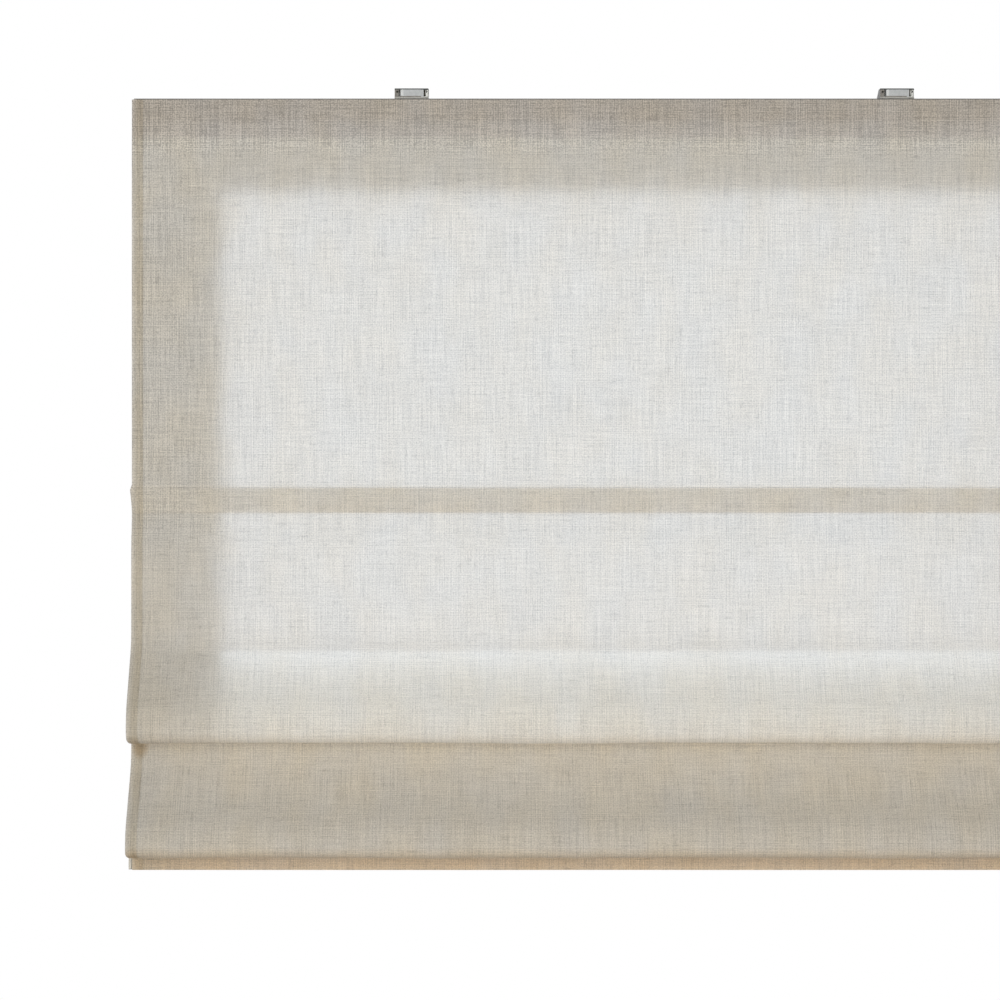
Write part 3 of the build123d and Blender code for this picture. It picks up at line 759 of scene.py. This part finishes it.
class Line2D:
    """The sheet's face line in the (y, z) plane, as evenly spread points."""

    sway_lean = 0.68

    def __init__(self, start: tuple[float, float], step: float) -> None:
        """Starts the line at a point, with a step between its points."""
        self.points = [np.array(start, float)]
        self.step = step

    def _extend(self, place: Callable[[np.ndarray], np.ndarray], length: float) -> None:
        """Adds a stretch.

        Args:
            place: gives the points of the shares from 0 to 1.
            length: the stretch's length.
        """
        count = max(2, math.ceil(length / self.step))
        share = np.linspace(0.0, 1.0, count + 1)[1:]
        self.points.extend(place(share))

    def to(self, y: float, z: float) -> "Line2D":
        """A straight stretch to a point: p = a + (b - a) t.

        Args:
            y: the end's depth.
            z: the end's height.

        Returns:
            The line.
        """
        a, b = self.points[-1], np.array((y, z))
        self._extend(lambda t: a + t[:, None] * (b - a), float(np.linalg.norm(b - a)))
        return self

    def sway(self, y: float, z: float) -> "Line2D":
        """Two arcs to a point, upright at both ends, with a straight lean between them.

        The lean is a = 2 k atan(d / h) for a shift d over a height h, and the arcs' radius is
        (h sin a - d cos a) / 2(1 - cos a).

        Args:
            y: the end's depth.
            z: the end's height.

        Returns:
            The line.
        """
        a, b = self.points[-1], np.array((y, z))
        shift, height = np.abs(b - a)
        lean = 2 * self.sway_lean * math.atan(shift / height)
        turn = 1 - math.cos(lean)
        radius = (height * math.sin(lean) - shift * math.cos(lean)) / (2 * turn)
        way = np.sign(b - a) * radius

        def arc(t: np.ndarray) -> np.ndarray:
            """The first arc, from its start at 0 to its end at 1."""
            return way * np.stack([1 - np.cos(lean * t), np.sin(lean * t)], axis=1)

        self._extend(lambda t: a + arc(t), 3 * radius * lean)
        self.to(*(b - arc(np.ones(1))[0]))
        self._extend(lambda t: b - arc(1 - t), 3 * radius * lean)
        return self

    def turn(self, y: float, bulge: float, first: float = 0.0, last: float = 1.0) -> "Line2D":
        """A half circle across, or its part between two shares: y = c - r cos u, z = l + b |r| sin u.

        Args:
            y: the depth at its end.
            bulge: -1 to bulge down and +1 to bulge up.
            first: the share of the half circle at which it starts.
            last: the share at which it ends.

        Returns:
            The line.
        """
        a = self.points[-1]
        start, end = math.pi * first, math.pi * last
        radius = (y - a[0]) / (math.cos(start) - math.cos(end))
        centre = a[0] + radius * math.cos(start)
        level = a[1] - bulge * abs(radius) * math.sin(start)

        def arc(t: np.ndarray) -> np.ndarray:
            """The part of the circle, from its start at 0 to its end at 1."""
            u = start + (end - start) * t
            return np.stack([centre - radius * np.cos(u), level + bulge * abs(radius) * np.sin(u)], axis=1)

        self._extend(arc, (end - start) * abs(radius) * 3)
        return self

    def array(self) -> np.ndarray:
        """The points as rows of (y, z)."""
        return np.array(self.points)


def mesh_object(name: str, points: np.ndarray, faces: Sequence[Sequence[int]]) -> bpy.types.Object:
    """A smooth-shaded mesh object at the origin.

    Args:
        name: the piece's name.
        points: its points, one a row.
        faces: its faces, as indices of points.

    Returns:
        The object, in the scene.
    """
    mesh = bpy.data.meshes.new(name)
    mesh.from_pydata(points.tolist(), [], faces)
    mesh.polygons.foreach_set("use_smooth", [True] * len(mesh.polygons))
    mesh.update()
    obj = bpy.data.objects.new(name, mesh)
    bpy.context.scene.collection.objects.link(obj)
    return obj


def grid_faces(rows: int, columns: int, offset: int = 0) -> np.ndarray:
    """The quads of a grid of points, as rows of four indices."""
    corner = offset + (np.arange(rows - 1)[:, None] * columns + np.arange(columns - 1)[None, :]).ravel()
    return np.stack([corner, corner + 1, corner + columns + 1, corner + columns], axis=1)


def run_along(path: np.ndarray) -> np.ndarray:
    """The length run along a path at each of its points."""
    return np.concatenate([[0.0], np.cumsum(np.linalg.norm(np.diff(path, axis=0), axis=1))])


def tube(name: str, path: np.ndarray, radius: float, sides: int = 10) -> bpy.types.Object:
    """A round tube along a path, with closed ends: p = path(t) + r (cos u first + sin u second).

    Args:
        name: the piece's name.
        path: the points of its middle line.
        radius: its radius.
        sides: how many faces lie round it.

    Returns:
        The object, in the scene.
    """
    tangent = np.gradient(path, axis=0)
    tangent /= np.linalg.norm(tangent, axis=1)[:, None]
    ahead = np.array([1.0, 0.0, 0.0]) if abs(tangent[0, 0]) < 0.9 else np.array([0.0, 1.0, 0.0])
    first = np.cross(tangent, ahead)
    first /= np.linalg.norm(first, axis=1)[:, None]
    second = np.cross(tangent, first)
    u = np.linspace(0, 2 * np.pi, sides, endpoint=False)[None, :, None]
    ring = np.cos(u) * first[:, None, :] + np.sin(u) * second[:, None, :]
    points = (path[:, None, :] + radius * ring).reshape(-1, 3)
    row, side = np.arange(len(path) - 1)[:, None] * sides, np.arange(sides)[None, :]
    after = (side + 1) % sides
    walls = np.stack([row + side, row + after, row + sides + after, row + sides + side], axis=-1)
    last = (len(path) - 1) * sides
    ends = [list(range(sides - 1, -1, -1)), list(range(last, last + sides))]
    return mesh_object(name, points, walls.reshape(-1, 4).tolist() + ends)


class Fold(NamedTuple):
    """One fold, measured down from batten 1's line and forward from the sheet's face."""

    offset_run: float
    hang: float
    belly: float
    depth: float
    radius: float
    inner_run: float


class Wave(NamedTuple):
    """One wave of the sheet's unevenness: its periods across and along the sheet, and its size."""

    across: float
    along: float
    size: float


class Pocket(NamedTuple):
    """A pocket behind the sheet: its upper and lower edge, and how far back it reaches."""

    top: float
    low: float
    back: float


class Patch(NamedTuple):
    """A part of the sheet's mesh, with the flat place and the distances that its material reads."""

    points: np.ndarray
    faces: np.ndarray
    flat: np.ndarray
    seam_rows: np.ndarray
    seam_edges: np.ndarray
    hem: np.ndarray


@dataclass
class Strip:
    """One stretch of the sheet between two bodies, or on one."""

    name: str
    line: np.ndarray
    body: str | tuple[str, str]
    seams: tuple[float, ...] = ()
    blend: tuple[float, float] | None = None
    pockets: tuple[Pocket, ...] = ()
    start: float = 0.0

    @property
    def length(self) -> float:
        """The length of the stretch."""
        return float(np.linalg.norm(np.diff(self.line, axis=0), axis=1).sum())

    @property
    def along(self) -> np.ndarray:
        """The distance from the sheet's top edge at each point of the line."""
        return self.start + run_along(self.line)


@dataclass(frozen=True)
class Sheet:
    """The woven sheet with its hems, pockets and folds, in metres: the same sizes as the solids."""

    centre_x: float = -0.023
    width: float = 1.0
    face_y: float = -0.009
    top_z: float = -0.0115
    thickness: float = 0.0006
    hem: float = 0.0115
    hem_gap: float = 0.0007
    hem_fade: Band = (0.0005, 0.0060)
    batten_z: Triple = (-0.412, -0.5965, -0.6385)
    pocket: float = 0.025
    pocket_depth: float = 0.0040
    pocket_corner: float = 0.0012
    bar_hem: float = 0.027
    bar_depth: float = 0.0060
    bottom_z: float = -0.782
    front_offset: float = 0.005
    inner_offset: float = 0.0016
    corner_out: float = 0.0024
    rim_corner_size: Band = (0.004, 0.005)
    edge_band: Band = (0.97, 0.03)
    corner_band: Band = (0.94, 0.06)
    pocket_sewn: Band = (0.0004, 0.0002)
    pocket_columns: int = 61
    tape_low: float = -0.0325
    tape_run: float = 0.03
    taped_share: float = 0.2
    panel_forward: float = 0.0006
    under_fold_run: float = 0.049
    line_step: float = 0.003
    columns: int = 121
    folds: tuple[Fold, Fold] = (
        Fold(offset_run=0.034, hang=0.1285, belly=0.2255, depth=0.046, radius=0.015, inner_run=0.020),
        Fold(offset_run=0.013, hang=0.2465, belly=0.3435, depth=0.052, radius=0.009, inner_run=0.058),
    )
    waves: tuple[Wave, ...] = (
        Wave(0.41, 1.9, 0.00035),
        Wave(0.23, -0.8, 0.0002),
        Wave(0.12, 0.55, 0.00010),
        Wave(0.071, -0.33, 0.00005),
    )
    linen: SlubLinen = SlubLinen()

    @property
    def half(self) -> float:
        """Half the sheet's width."""
        return self.width / 2

    @property
    def lows(self) -> list[float]:
        """The lower edge of each batten pocket."""
        return [z - self.pocket / 2 for z in self.batten_z]

    @property
    def creases(self) -> list[float]:
        """The upper edge of each batten pocket."""
        return [z + self.pocket / 2 for z in self.batten_z]

    def line(self, y: float, z: float) -> Line2D:
        """A face line that starts at a point."""
        return Line2D((y, z), self.line_step)

    def fold_strips(self, number: int, fold: Fold) -> list[Strip]:
        """A fold's front and inner stretch, which meet at its lowest line.

        Args:
            number: 0 for the upper fold and 1 for the lower one.
            fold: the fold's sizes.

        Returns:
            Both stretches, from the top down.
        """
        y, radius = self.face_y, self.inner_offset / 2
        front_y, belly_y = y - self.front_offset, y - fold.depth
        low, crease = self.lows[number], self.creases[number + 1]
        hang_z, belly_z = self.batten_z[0] - fold.hang, self.batten_z[0] - fold.belly
        lowest_y, lowest_z = belly_y + fold.radius, belly_z - fold.radius
        face = self.line(y, low).sway(front_y, low - fold.offset_run).to(front_y, hang_z)
        face.sway(belly_y, belly_z).turn(lowest_y, -1.0, 0.0, 0.5)
        rise = self.line(lowest_y, lowest_z).turn(lowest_y + fold.radius, -1.0, 0.5, 1.0)
        rise.sway(y - self.inner_offset, crease - fold.inner_run)
        rise.to(y - self.inner_offset, crease - radius).turn(y, 1.0)
        bodies = (f"batten_{number + 1}", f"batten_{number + 2}")
        name = f"cloth_fold_{number + 1}"
        front_blend = (low, 2 * lowest_z - low)
        inner_blend = (2 * lowest_z - crease + radius, crease - radius)
        return [
            Strip(f"{name}_front", face.array(), bodies, blend=front_blend),
            Strip(f"{name}_inner", rise.array(), bodies, blend=inner_blend),
        ]

    def strips(self) -> list[Strip]:
        """Cuts the one sheet at its battens and at the folds' lowest lines.

        Returns:
            The stretches, from the top down.
        """
        y, depth = self.face_y, self.pocket_depth
        lows, creases = self.lows, self.creases
        over_crease = self.inner_offset / 2
        bar_top = self.bottom_z + self.bar_hem
        panel = self.line(y, self.top_z).to(y, creases[0]).to(y, lows[0])
        second = self.line(y, creases[1] - over_crease).to(y, lows[1])
        flap = self.line(y, creases[2] - over_crease).to(y, lows[2]).to(y, bar_top).to(y, self.bottom_z)
        pockets = [Pocket(crease, low, depth) for crease, low in zip(creases, lows)]
        bar_pocket = Pocket(bar_top, self.bottom_z, self.bar_depth)
        strips = [
            Strip("cloth_panel", panel.array(), ("headrail", "batten_1"), (creases[0], lows[0]),
                  (self.top_z, creases[0]), (pockets[0],)),
            *self.fold_strips(0, self.folds[0]),
            Strip("cloth_pocket_2", second.array(), "batten_2", (lows[1],), pockets=(pockets[1],)),
            *self.fold_strips(1, self.folds[1]),
            Strip("cloth_flap", flap.array(), "batten_3", (lows[2], bar_top), pockets=(pockets[2], bar_pocket)),
        ]
        start = 0.0
        for strip in strips:
            strip.start = start
            start += strip.length
        LOG.info("sheet length %.4f", start)
        return strips

    def ripple(self, x: np.ndarray, s: np.ndarray) -> np.ndarray:
        """The sheet's unevenness along its normal: a sum of a_k sin(2 pi (x / p_k + s / q_k) + f_k).

        Args:
            x: the distance from the sheet's middle.
            s: the distance from its top edge.

        Returns:
            How far each point lies behind the even sheet.
        """
        rng = np.random.default_rng(7)
        total = np.zeros_like(x + s)
        for wave in self.waves:
            phase = rng.uniform(0, 2 * np.pi)
            total += wave.size * np.sin(2 * np.pi * (x / wave.across + s / wave.along) + phase)
        return total

    def cross_section(self) -> tuple[np.ndarray, np.ndarray, np.ndarray]:
        """The sheet's section across its width, with its hems folded behind by a half circle.

        Returns:
            The distance from the middle, how far behind the face, and the width coordinate of the flat cloth.
        """
        gap, around = self.hem_gap, 6
        inner = np.linspace(self.half - self.hem, self.half - gap, around)
        angle = np.linspace(np.pi / 2, -np.pi / 2, 7)[1:-1]
        round_x = self.half - gap / 2 + gap / 2 * np.cos(angle) - gap / 2
        round_depth = gap / 2 + gap / 2 * np.sin(angle)
        face = np.linspace(-(self.half - gap), self.half - gap, self.columns)
        inward = np.array([self.hem + 0.0003, self.hem, 0.0065, 0.0035])
        face = np.unique(np.concatenate([face, inward - self.half, self.half - inward]))
        x = np.concatenate([-inner, -round_x, face, round_x[::-1], inner[::-1]])
        behind = np.full(around, gap)
        depth = np.concatenate([behind, round_depth, np.zeros(len(face)), round_depth[::-1], behind])
        flat = np.concatenate([[0.0], np.cumsum(np.hypot(np.diff(x), np.diff(depth)))])
        return x, depth, flat - flat[-1] / 2

    def edge_out(self, z: np.ndarray) -> np.ndarray:
        """How far the sheet's edge stands out beside batten 1, where its pocket is drawn tight.

        Args:
            z: the heights along the edge.

        Returns:
            A quick rise at the pocket's top, which falls off as a power of 1.5 to its lower edge.
        """
        top, low = self.creases[0], self.lows[0]
        rise = np.clip((top + 0.0015 - z) / 0.0035, 0, 1) * (z > low - 0.001)
        fall = np.clip((z - low) / (top - low), 0, 1)
        return self.corner_out * rise * fall**1.5

    def rim_corner(self, z: np.ndarray) -> np.ndarray:
        """How far a fold's side edge draws in near its lowest line.

        Args:
            z: the heights along the edge.

        Returns:
            A quarter ellipse: w (1 - sqrt(1 - t t)), where t is the share of its height gone down.
        """
        wide, high = self.rim_corner_size
        share = np.clip((z.min() + high - z) / high, 0, 1)
        return wide * (1 - np.sqrt(1 - share**2))

    def sideways(self, strip: Strip, x: np.ndarray) -> np.ndarray:
        """How far the points near the side edges move out, or in at a fold's corners.

        Args:
            strip: the stretch.
            x: the distances from the sheet's middle.

        Returns:
            The move of each point of the stretch's grid.
        """
        z = strip.line[:, 1:2]
        outward, share = np.sign(x)[None, :], np.abs(x)[None, :] / self.half
        start, run = self.edge_band
        spread = self.edge_out(z) * outward * np.clip((share - start) / run, 0, 1)
        if strip.name.startswith("cloth_fold"):
            start, run = self.corner_band
            spread = spread - self.rim_corner(z) * outward * np.clip((share - start) / run, 0, 1)
        return spread

    def face_patch(self, strip: Strip) -> Patch:
        """The face of one stretch with its hems: the line carried across, p = line(s) + n(s) d(x).

        Args:
            strip: the stretch.

        Returns:
            Its part of the mesh.
        """
        x, depth, flat = self.cross_section()
        line, s = strip.line, strip.along
        tangent = np.gradient(line, axis=0)
        tangent /= np.linalg.norm(tangent, axis=1)[:, None]
        behind = np.stack([-tangent[:, 1], tangent[:, 0]], axis=1)
        free = np.clip((self.tape_low - line[:, 1:2]) / self.tape_run, 0, 1)
        uneven = self.ripple(x[None, :], s[:, None]) * (self.taped_share + (1 - self.taped_share) * free)
        if strip.name == "cloth_panel":
            uneven = uneven - self.panel_forward * free
        shift = depth[None, :] + uneven
        y = line[:, 0:1] + behind[:, 0:1] * shift
        z = line[:, 1:2] + behind[:, 1:2] * shift
        grid_x = self.centre_x + x[None, :] + self.sideways(strip, x)
        points = np.stack([np.broadcast_to(grid_x, y.shape), y, z], axis=2).reshape(-1, 3)
        flat_place = np.stack(np.broadcast_arrays(flat[None, :], s[:, None]), axis=2).reshape(-1, 2)
        rows = np.full(len(line), 1.0)
        for level in strip.seams:
            rows = np.minimum(rows, np.abs(line[:, 1] - level))
        # the hem's share, which the cloth's material reads to paint shade on the double hem
        inward = self.half - np.abs(x)
        fade_start, fade_run = self.hem_fade
        hem = np.clip((inward - fade_start) / fade_run, 0.0, 1.0) * (inward <= self.hem + 1e-6)
        per_column = [np.broadcast_to(v[None, :], y.shape).ravel() for v in (np.abs(inward - self.hem), hem)]
        per_row = np.broadcast_to(rows[:, None], y.shape).ravel()
        return Patch(points, grid_faces(len(line), len(x)), flat_place, per_row, *per_column)

    def pocket_patch(self, pocket: Pocket, offset: int) -> Patch:
        """The strip sewn behind the sheet that makes a pocket, with rounded lower and upper edges.

        Args:
            pocket: the pocket.
            offset: how many points of the mesh come before.

        Returns:
            Its part of the mesh.
        """
        top, low, back = pocket
        sewn_y = self.face_y + self.thickness / 2
        radius = min(self.pocket_corner, back / 3)
        back_y = self.face_y + back
        under_top, over_low = top - self.pocket_sewn[0], low + self.pocket_sewn[1]
        line = Line2D((sewn_y, under_top), self.pocket_corner).to(back_y - radius, under_top)
        line.to(back_y, top - radius).to(back_y, low + radius)
        path = line.to(back_y - radius, over_low).to(sewn_y, over_low).array()
        reach = self.half - self.hem_gap / 2
        x = np.linspace(-reach, reach, self.pocket_columns)
        s = top + run_along(path)
        grid = np.broadcast_arrays(self.centre_x + x[None, :], path[:, 0:1], path[:, 1:2])
        points = np.stack(grid, axis=2).reshape(-1, 3)
        flat_place = np.stack(np.broadcast_arrays(x[None, :] + 0.37, s[:, None] - 1.0), axis=2).reshape(-1, 2)
        far = np.ones(len(points))
        return Patch(points, grid_faces(len(path), len(x), offset), flat_place, far, far, 0 * far)

    def build_strip(self, strip: Strip, material: bpy.types.Material) -> None:
        """Builds one stretch with its pockets' backs, and hangs a stretch that lies on one body from that body.

        Args:
            strip: the stretch.
            material: the cloth's material.
        """
        patches = [self.face_patch(strip)]
        for pocket in strip.pockets:
            patches.append(self.pocket_patch(pocket, sum(len(patch.points) for patch in patches)))
        whole = Patch(*(np.concatenate(part) for part in zip(*patches)))
        obj = mesh_object(strip.name, whole.points, whole.faces.tolist())
        corners = np.empty(len(obj.data.loops), int)
        obj.data.loops.foreach_get("vertex_index", corners)
        obj.data.uv_layers.new(name="cloth").data.foreach_set("uv", whole.flat[corners].ravel())
        for name in ("seam_rows", "seam_edges", "hem"):
            values = getattr(whole, name).astype(np.float32)
            obj.data.attributes.new(name, "FLOAT", "POINT").data.foreach_set("value", values)
        obj.data.materials.append(material)
        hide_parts("blind_cloth")
        if strip.blend:
            start, end = ((self.centre_x, self.face_y, level) for level in strip.blend)
            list(strip.body)
            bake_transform(obj)
            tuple(start)
            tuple(end)
        else:
            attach(obj, strip.body)
        s = strip.along
        pocket_length = sum(top - low + 2 * back for top, low, back in strip.pockets)
        flat_size = (self.width + 2 * self.hem, float(s[-1] - s[0]) + pocket_length)
        LOG.info("%s: flat size %.3f by %.3f", strip.name, *flat_size)

    def build(self) -> None:
        """Builds the whole sheet, one stretch after another."""
        strips = self.strips()
        rims = [strip.start for strip in strips if strip.name.endswith("_inner")]
        second = next(strip for strip in strips if strip.name == "cloth_fold_2_front")
        end = strips[-1].start + strips[-1].length
        material = self.linen.material(SheetMarks(rims, second.start + self.under_fold_run, end))
        for strip in strips:
            self.build_strip(strip, material)


@dataclass(frozen=True)
class LiftCords:
    """The two lift cords: turns on the spool, three stretches between the battens, and a stop knot."""

    sheet: Sheet
    off_centre: float = 0.370
    y: float = 0.0011
    radius: float = 0.0007
    spool_y: float = 0.0086
    spool_z: float = -0.023
    winding: float = 0.0075
    turns: int = 8
    points_per_turn: int = 32
    fall_points: int = 60
    knot_size: float = 0.00144
    knot_drop: float = 0.0036
    finish: BraidedCord = BraidedCord()

    def dress(self, obj: bpy.types.Object, side: Side, material: bpy.types.Material) -> None:
        """Gives a piece of cord its material and hides the solid cord of its side.

        Args:
            obj: the piece.
            side: the end that it hangs at.
            material: the cord's material.
        """
        obj.data.materials.append(material)
        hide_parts(f"lift_cord_{side.word}")
        LOG.info("%s", obj.name)

    def build_falls(self, side: Side, x: float, material: bpy.types.Material) -> None:
        """The three straight stretches behind the sheet, each between two bodies.

        Args:
            side: the end that the cord hangs at.
            x: its place along the rail.
            material: the cord's material.
        """
        levels = [self.spool_z, *self.sheet.batten_z]
        lows = [*levels[1:3], levels[3] - self.knot_drop]
        bodies = ["headrail", "batten_1", "batten_2", "batten_3"]
        for number, low in enumerate(lows):
            z = np.linspace(levels[number], low, self.fall_points)
            path = np.stack([np.full_like(z, x), np.full_like(z, self.y), z], axis=1)
            fall = tube(f"cord_{side.word}_{number + 1}", path, self.radius)
            self.dress(fall, side, material)
            start, end = ((x, self.y, level) for level in levels[number:number + 2])
            bodies[number + 1]
            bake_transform(fall)
            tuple(start)
            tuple(end)

    def build_turns(self, side: Side, x: float, material: bpy.types.Material) -> None:
        """The turns on the spool: a helix with one cord's thickness of rise a turn.

        Args:
            side: the end that the cord hangs at.
            x: its place along the rail.
            material: the cord's material.
        """
        angle = np.linspace(0, 2 * np.pi * self.turns, self.turns * self.points_per_turn)
        length = self.turns * 2 * self.radius
        coil_x = x - length / 2 + angle / angle[-1] * length
        coil_y = self.spool_y - self.winding * np.cos(angle)
        coil_z = self.spool_z - self.winding * np.sin(angle)
        turns = tube(f"cord_turns_{side.word}", np.stack([coil_x, coil_y, coil_z], axis=1), self.radius)
        self.dress(turns, side, material)
        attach(turns, "lift_shaft")

    def build_knot(self, side: Side, x: float, material: bpy.types.Material) -> None:
        """The stop knot: a trefoil line, drawn tight.

        Args:
            side: the end that the cord hangs at.
            x: its place along the rail.
            material: the cord's material.
        """
        t = np.linspace(0, 2 * np.pi, 90)
        trefoil = [np.sin(t) + 2 * np.sin(2 * t), np.cos(t) - 2 * np.cos(2 * t), -1.6 * np.sin(3 * t)]
        centre = np.array([x, self.y, self.sheet.batten_z[2] - self.knot_drop])
        path = centre + np.stack(trefoil, axis=1) / 3.0 * self.knot_size
        knot = tube(f"cord_knot_{side.word}", path, self.radius)
        self.dress(knot, side, material)
        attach(knot, "batten_3")

    def build(self) -> None:
        """Builds both cords."""
        material = self.finish.material()
        for side in Side:
            x = self.sheet.centre_x + side.value * self.off_centre
            self.build_falls(side, x, material)
            self.build_turns(side, x, material)
            self.build_knot(side, x, material)


@dataclass(frozen=True)
class Hardware:
    """The solids that keep their own form: rail, mechanism, brackets, tapes, laths and bottom bar."""

    bracket_x: float = 0.243

    def plain_nodes(self) -> dict[Surface, list[str]]:
        """The solids of each plain finish.

        Returns:
            Their nodes' names, by finish.
        """
        pairs = {
            Surface.CREAM: ["bar_cap"],
            Surface.CAP: ["end_cap"],
            Surface.WHITE: ["cord_spool", "cord_cradle"],
        }
        nodes = {
            surface: [f"{stem}_{side.word}" for stem in stems for side in Side]
            for surface, stems in pairs.items()
        }
        nodes[Surface.WHITE] += [f"cord_guides_{row}" for row in (1, 2, 3)]
        nodes[Surface.LATH] = [f"batten_{row}" for row in (1, 2, 3)]
        nodes[Surface.BAR] = ["bottom_bar"]
        nodes[Surface.SHAFT] = ["lift_shaft"]
        nodes[Surface.SPRING] = ["spring_drum"]
        nodes[Surface.CASE] = ["spring_motor_case", "spring_motor_lid"]
        return nodes

    def paint(self, node: str, material: bpy.types.Material) -> None:
        """Puts one material on a carried-over solid.

        Args:
            node: the solid's node.
            material: its material.
        """
        for obj in bpy.data.objects:
            if obj.get("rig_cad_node") == node or obj.name == node:
                obj.data.materials.clear()
                obj.data.materials.append(material)
                LOG.info("%s: %s", node, material.name)

    def build(self) -> None:
        """Gives every carried-over solid its surface."""
        for surface, nodes in self.plain_nodes().items():
            material = surface.value.material()
            for node in nodes:
                self.paint(node, material)
        self.paint("headrail", RailPaint().material())
        for side in Side:
            x = side.value * self.bracket_x
            self.paint(f"bracket_{side.word}", BracketZinc(f"bracket_zinc_{side.word}", x=x).material())
            self.paint(f"bracket_lever_{side.word}", LeverPlastic(f"lever_{side.word}", x=x).material())
        tape = TouchTape().material()
        for node in ("hook_tape", "loop_tape"):
            self.paint(node, tape)


@dataclass(frozen=True)
class Lamp:
    """A soft rectangular light that no camera sees."""

    name: str
    place: Triple
    aim: Triple
    size: tuple[float, float]
    power: float
    colour: Triple
    glossy: bool = False

    def build(self) -> bpy.types.Object:
        """Puts the lamp in the scene, facing its aim.

        Returns:
            The lamp's object.
        """
        data = bpy.data.lights.new(self.name, "AREA")
        data.shape = "RECTANGLE"
        data.size, data.size_y = self.size
        data.energy = self.power
        data.color = self.colour
        obj = bpy.data.objects.new(self.name, data)
        obj.location = self.place
        obj.rotation_euler = (Vector(self.aim) - Vector(self.place)).to_track_quat("-Z", "Y").to_euler()
        obj.visible_camera = False
        obj.visible_glossy = self.glossy
        bpy.context.scene.collection.objects.link(obj)
        LOG.info("%s", self.name)
        return obj


@dataclass(frozen=True)
class Room:
    """White surroundings for the camera, even soft light from the room, and daylight behind the sheet."""

    x: float
    world_strength: float = 0.09
    floor_z: float = -2.1
    floor_half: float = 6.0
    middle: Triple = (0.0, 0.0, -0.40)

    def build_world(self) -> None:
        """A faint even light, seen as white by the camera."""
        world = bpy.data.worlds.new("room")
        bpy.context.scene.world = world
        graph = Graph(world)
        camera_ray = graph.add("ShaderNodeLightPath", out="Is Camera Ray")
        seen = graph.add("ShaderNodeBackground", {"Color": (1, 1, 1, 1)})
        values = {"Color": (0.95, 0.96, 1.0, 1), "Strength": self.world_strength}
        room = graph.add("ShaderNodeBackground", values)
        mix = graph.add("ShaderNodeMixShader", {0: camera_ray, 1: room, 2: seen})
        graph.finish(mix, "ShaderNodeOutputWorld")

    def build_floor(self) -> None:
        """A pale floor under the blind."""
        graph = Graph.material("pale_floor")
        lit = graph.add("ShaderNodeBsdfDiffuse", {"Color": (0.85, 0.84, 0.82, 1)})
        plain = graph.add("ShaderNodeEmission", {"Color": (1, 1, 1, 1), "Strength": 1.0})
        camera_ray = graph.add("ShaderNodeLightPath", out="Is Camera Ray")
        material = graph.finish(graph.add("ShaderNodeMixShader", {0: camera_ray, 1: lit, 2: plain}))
        signs = np.array([(-1, -1), (1, -1), (1, 1), (-1, 1)])
        corners = np.column_stack([signs * self.floor_half, np.full(4, self.floor_z)])
        floor = mesh_object("floor", corners, [(0, 1, 2, 3)])
        floor.data.materials.append(material)

    def lamps(self) -> list[Lamp]:
        """The room's lamps, the window's light on the sheet, and the light between the folds.

        Returns:
            The lamps that stay where they are.
        """
        x, middle = self.x, self.middle
        return [
            Lamp("room_top", (-0.5, -2.2, 1.2), middle, (2.4, 1.6), 8.5, (0.92, 0.96, 1.0)),
            Lamp("room_front", (-0.2, -2.9, -0.35), middle, (2.6, 2.2), 71.5, (1.0, 1.0, 0.965)),
            Lamp("warm_bounce", (0.5, -1.3, -1.8), (0.1, 0.0, -0.75), (2.0, 1.0), 2.4, (1.0, 0.60, 0.25)),
            Lamp("room_behind", (0.5, 2.3, 0.5), middle, (2.2, 1.8), 12.0, PLAIN, glossy=True),
            Lamp("window_near", (x, 0.0, -0.3475), (x, -1.0, -0.3475), (0.82, 0.489), 1.26,
                 (0.82, 0.895, 1.0)),
            Lamp("window_far", (x, 0.09, -0.335), (x, -1.0, -0.335), (0.80, 0.45), 0.213,
                 (0.28, 0.63, 1.0)),
            Lamp("fold_glow", (x, -0.0268, -0.6025), (x, -0.983, -0.3085), (0.82, 0.080), 0.172,
                 (0.80, 0.895, 0.98)),
            Lamp("fold_bounce", (x, -0.062, -0.685), (x, -0.025, -0.657), (0.96, 0.010), 0.028,
                 (1.0, 0.86, 0.68)),
        ]

    def build(self) -> None:
        """Builds the world, the floor and the lamps; the lowest lamp goes with the bottom bar."""
        self.build_world()
        self.build_floor()
        for lamp in self.lamps():
            lamp.build()
        x = self.x
        sill = Lamp("sill_glow", (x, -0.045, -0.797), (x, -0.012, -0.772), (0.96, 0.008), 0.036,
                    (1.0, 0.56, 0.20)).build()
        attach(sill, "batten_3")


@dataclass(frozen=True)
class View:
    """The photograph's view: square on, from left of the blind's middle, with the right end out of frame."""

    lens_mm: float = 100.8
    sensor_mm: float = 36.0
    place: Triple = (-0.15455, -2.809, -0.412)

    def build(self) -> None:
        """Puts the camera in the scene, level and facing the sheet."""
        data = bpy.data.cameras.new("camera")
        data.lens = self.lens_mm
        data.sensor_width = self.sensor_mm
        camera = bpy.data.objects.new("camera", data)
        camera.location = self.place
        camera.rotation_euler = (math.radians(90), 0.0, 0.0)
        bpy.context.scene.collection.objects.link(camera)
        bpy.context.scene.camera = camera
        bpy.context.scene.view_settings.view_transform = "Standard"


def main() -> None:
    """Builds the dressed blind in order."""
    logging.basicConfig(level=logging.INFO)
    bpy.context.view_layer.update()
    sheet = Sheet()
    View().build()
    Hardware().build()
    sheet.build()
    LiftCords(sheet).build()
    Room(sheet.centre_x).build()


if __name__ == "__main__":
    main()
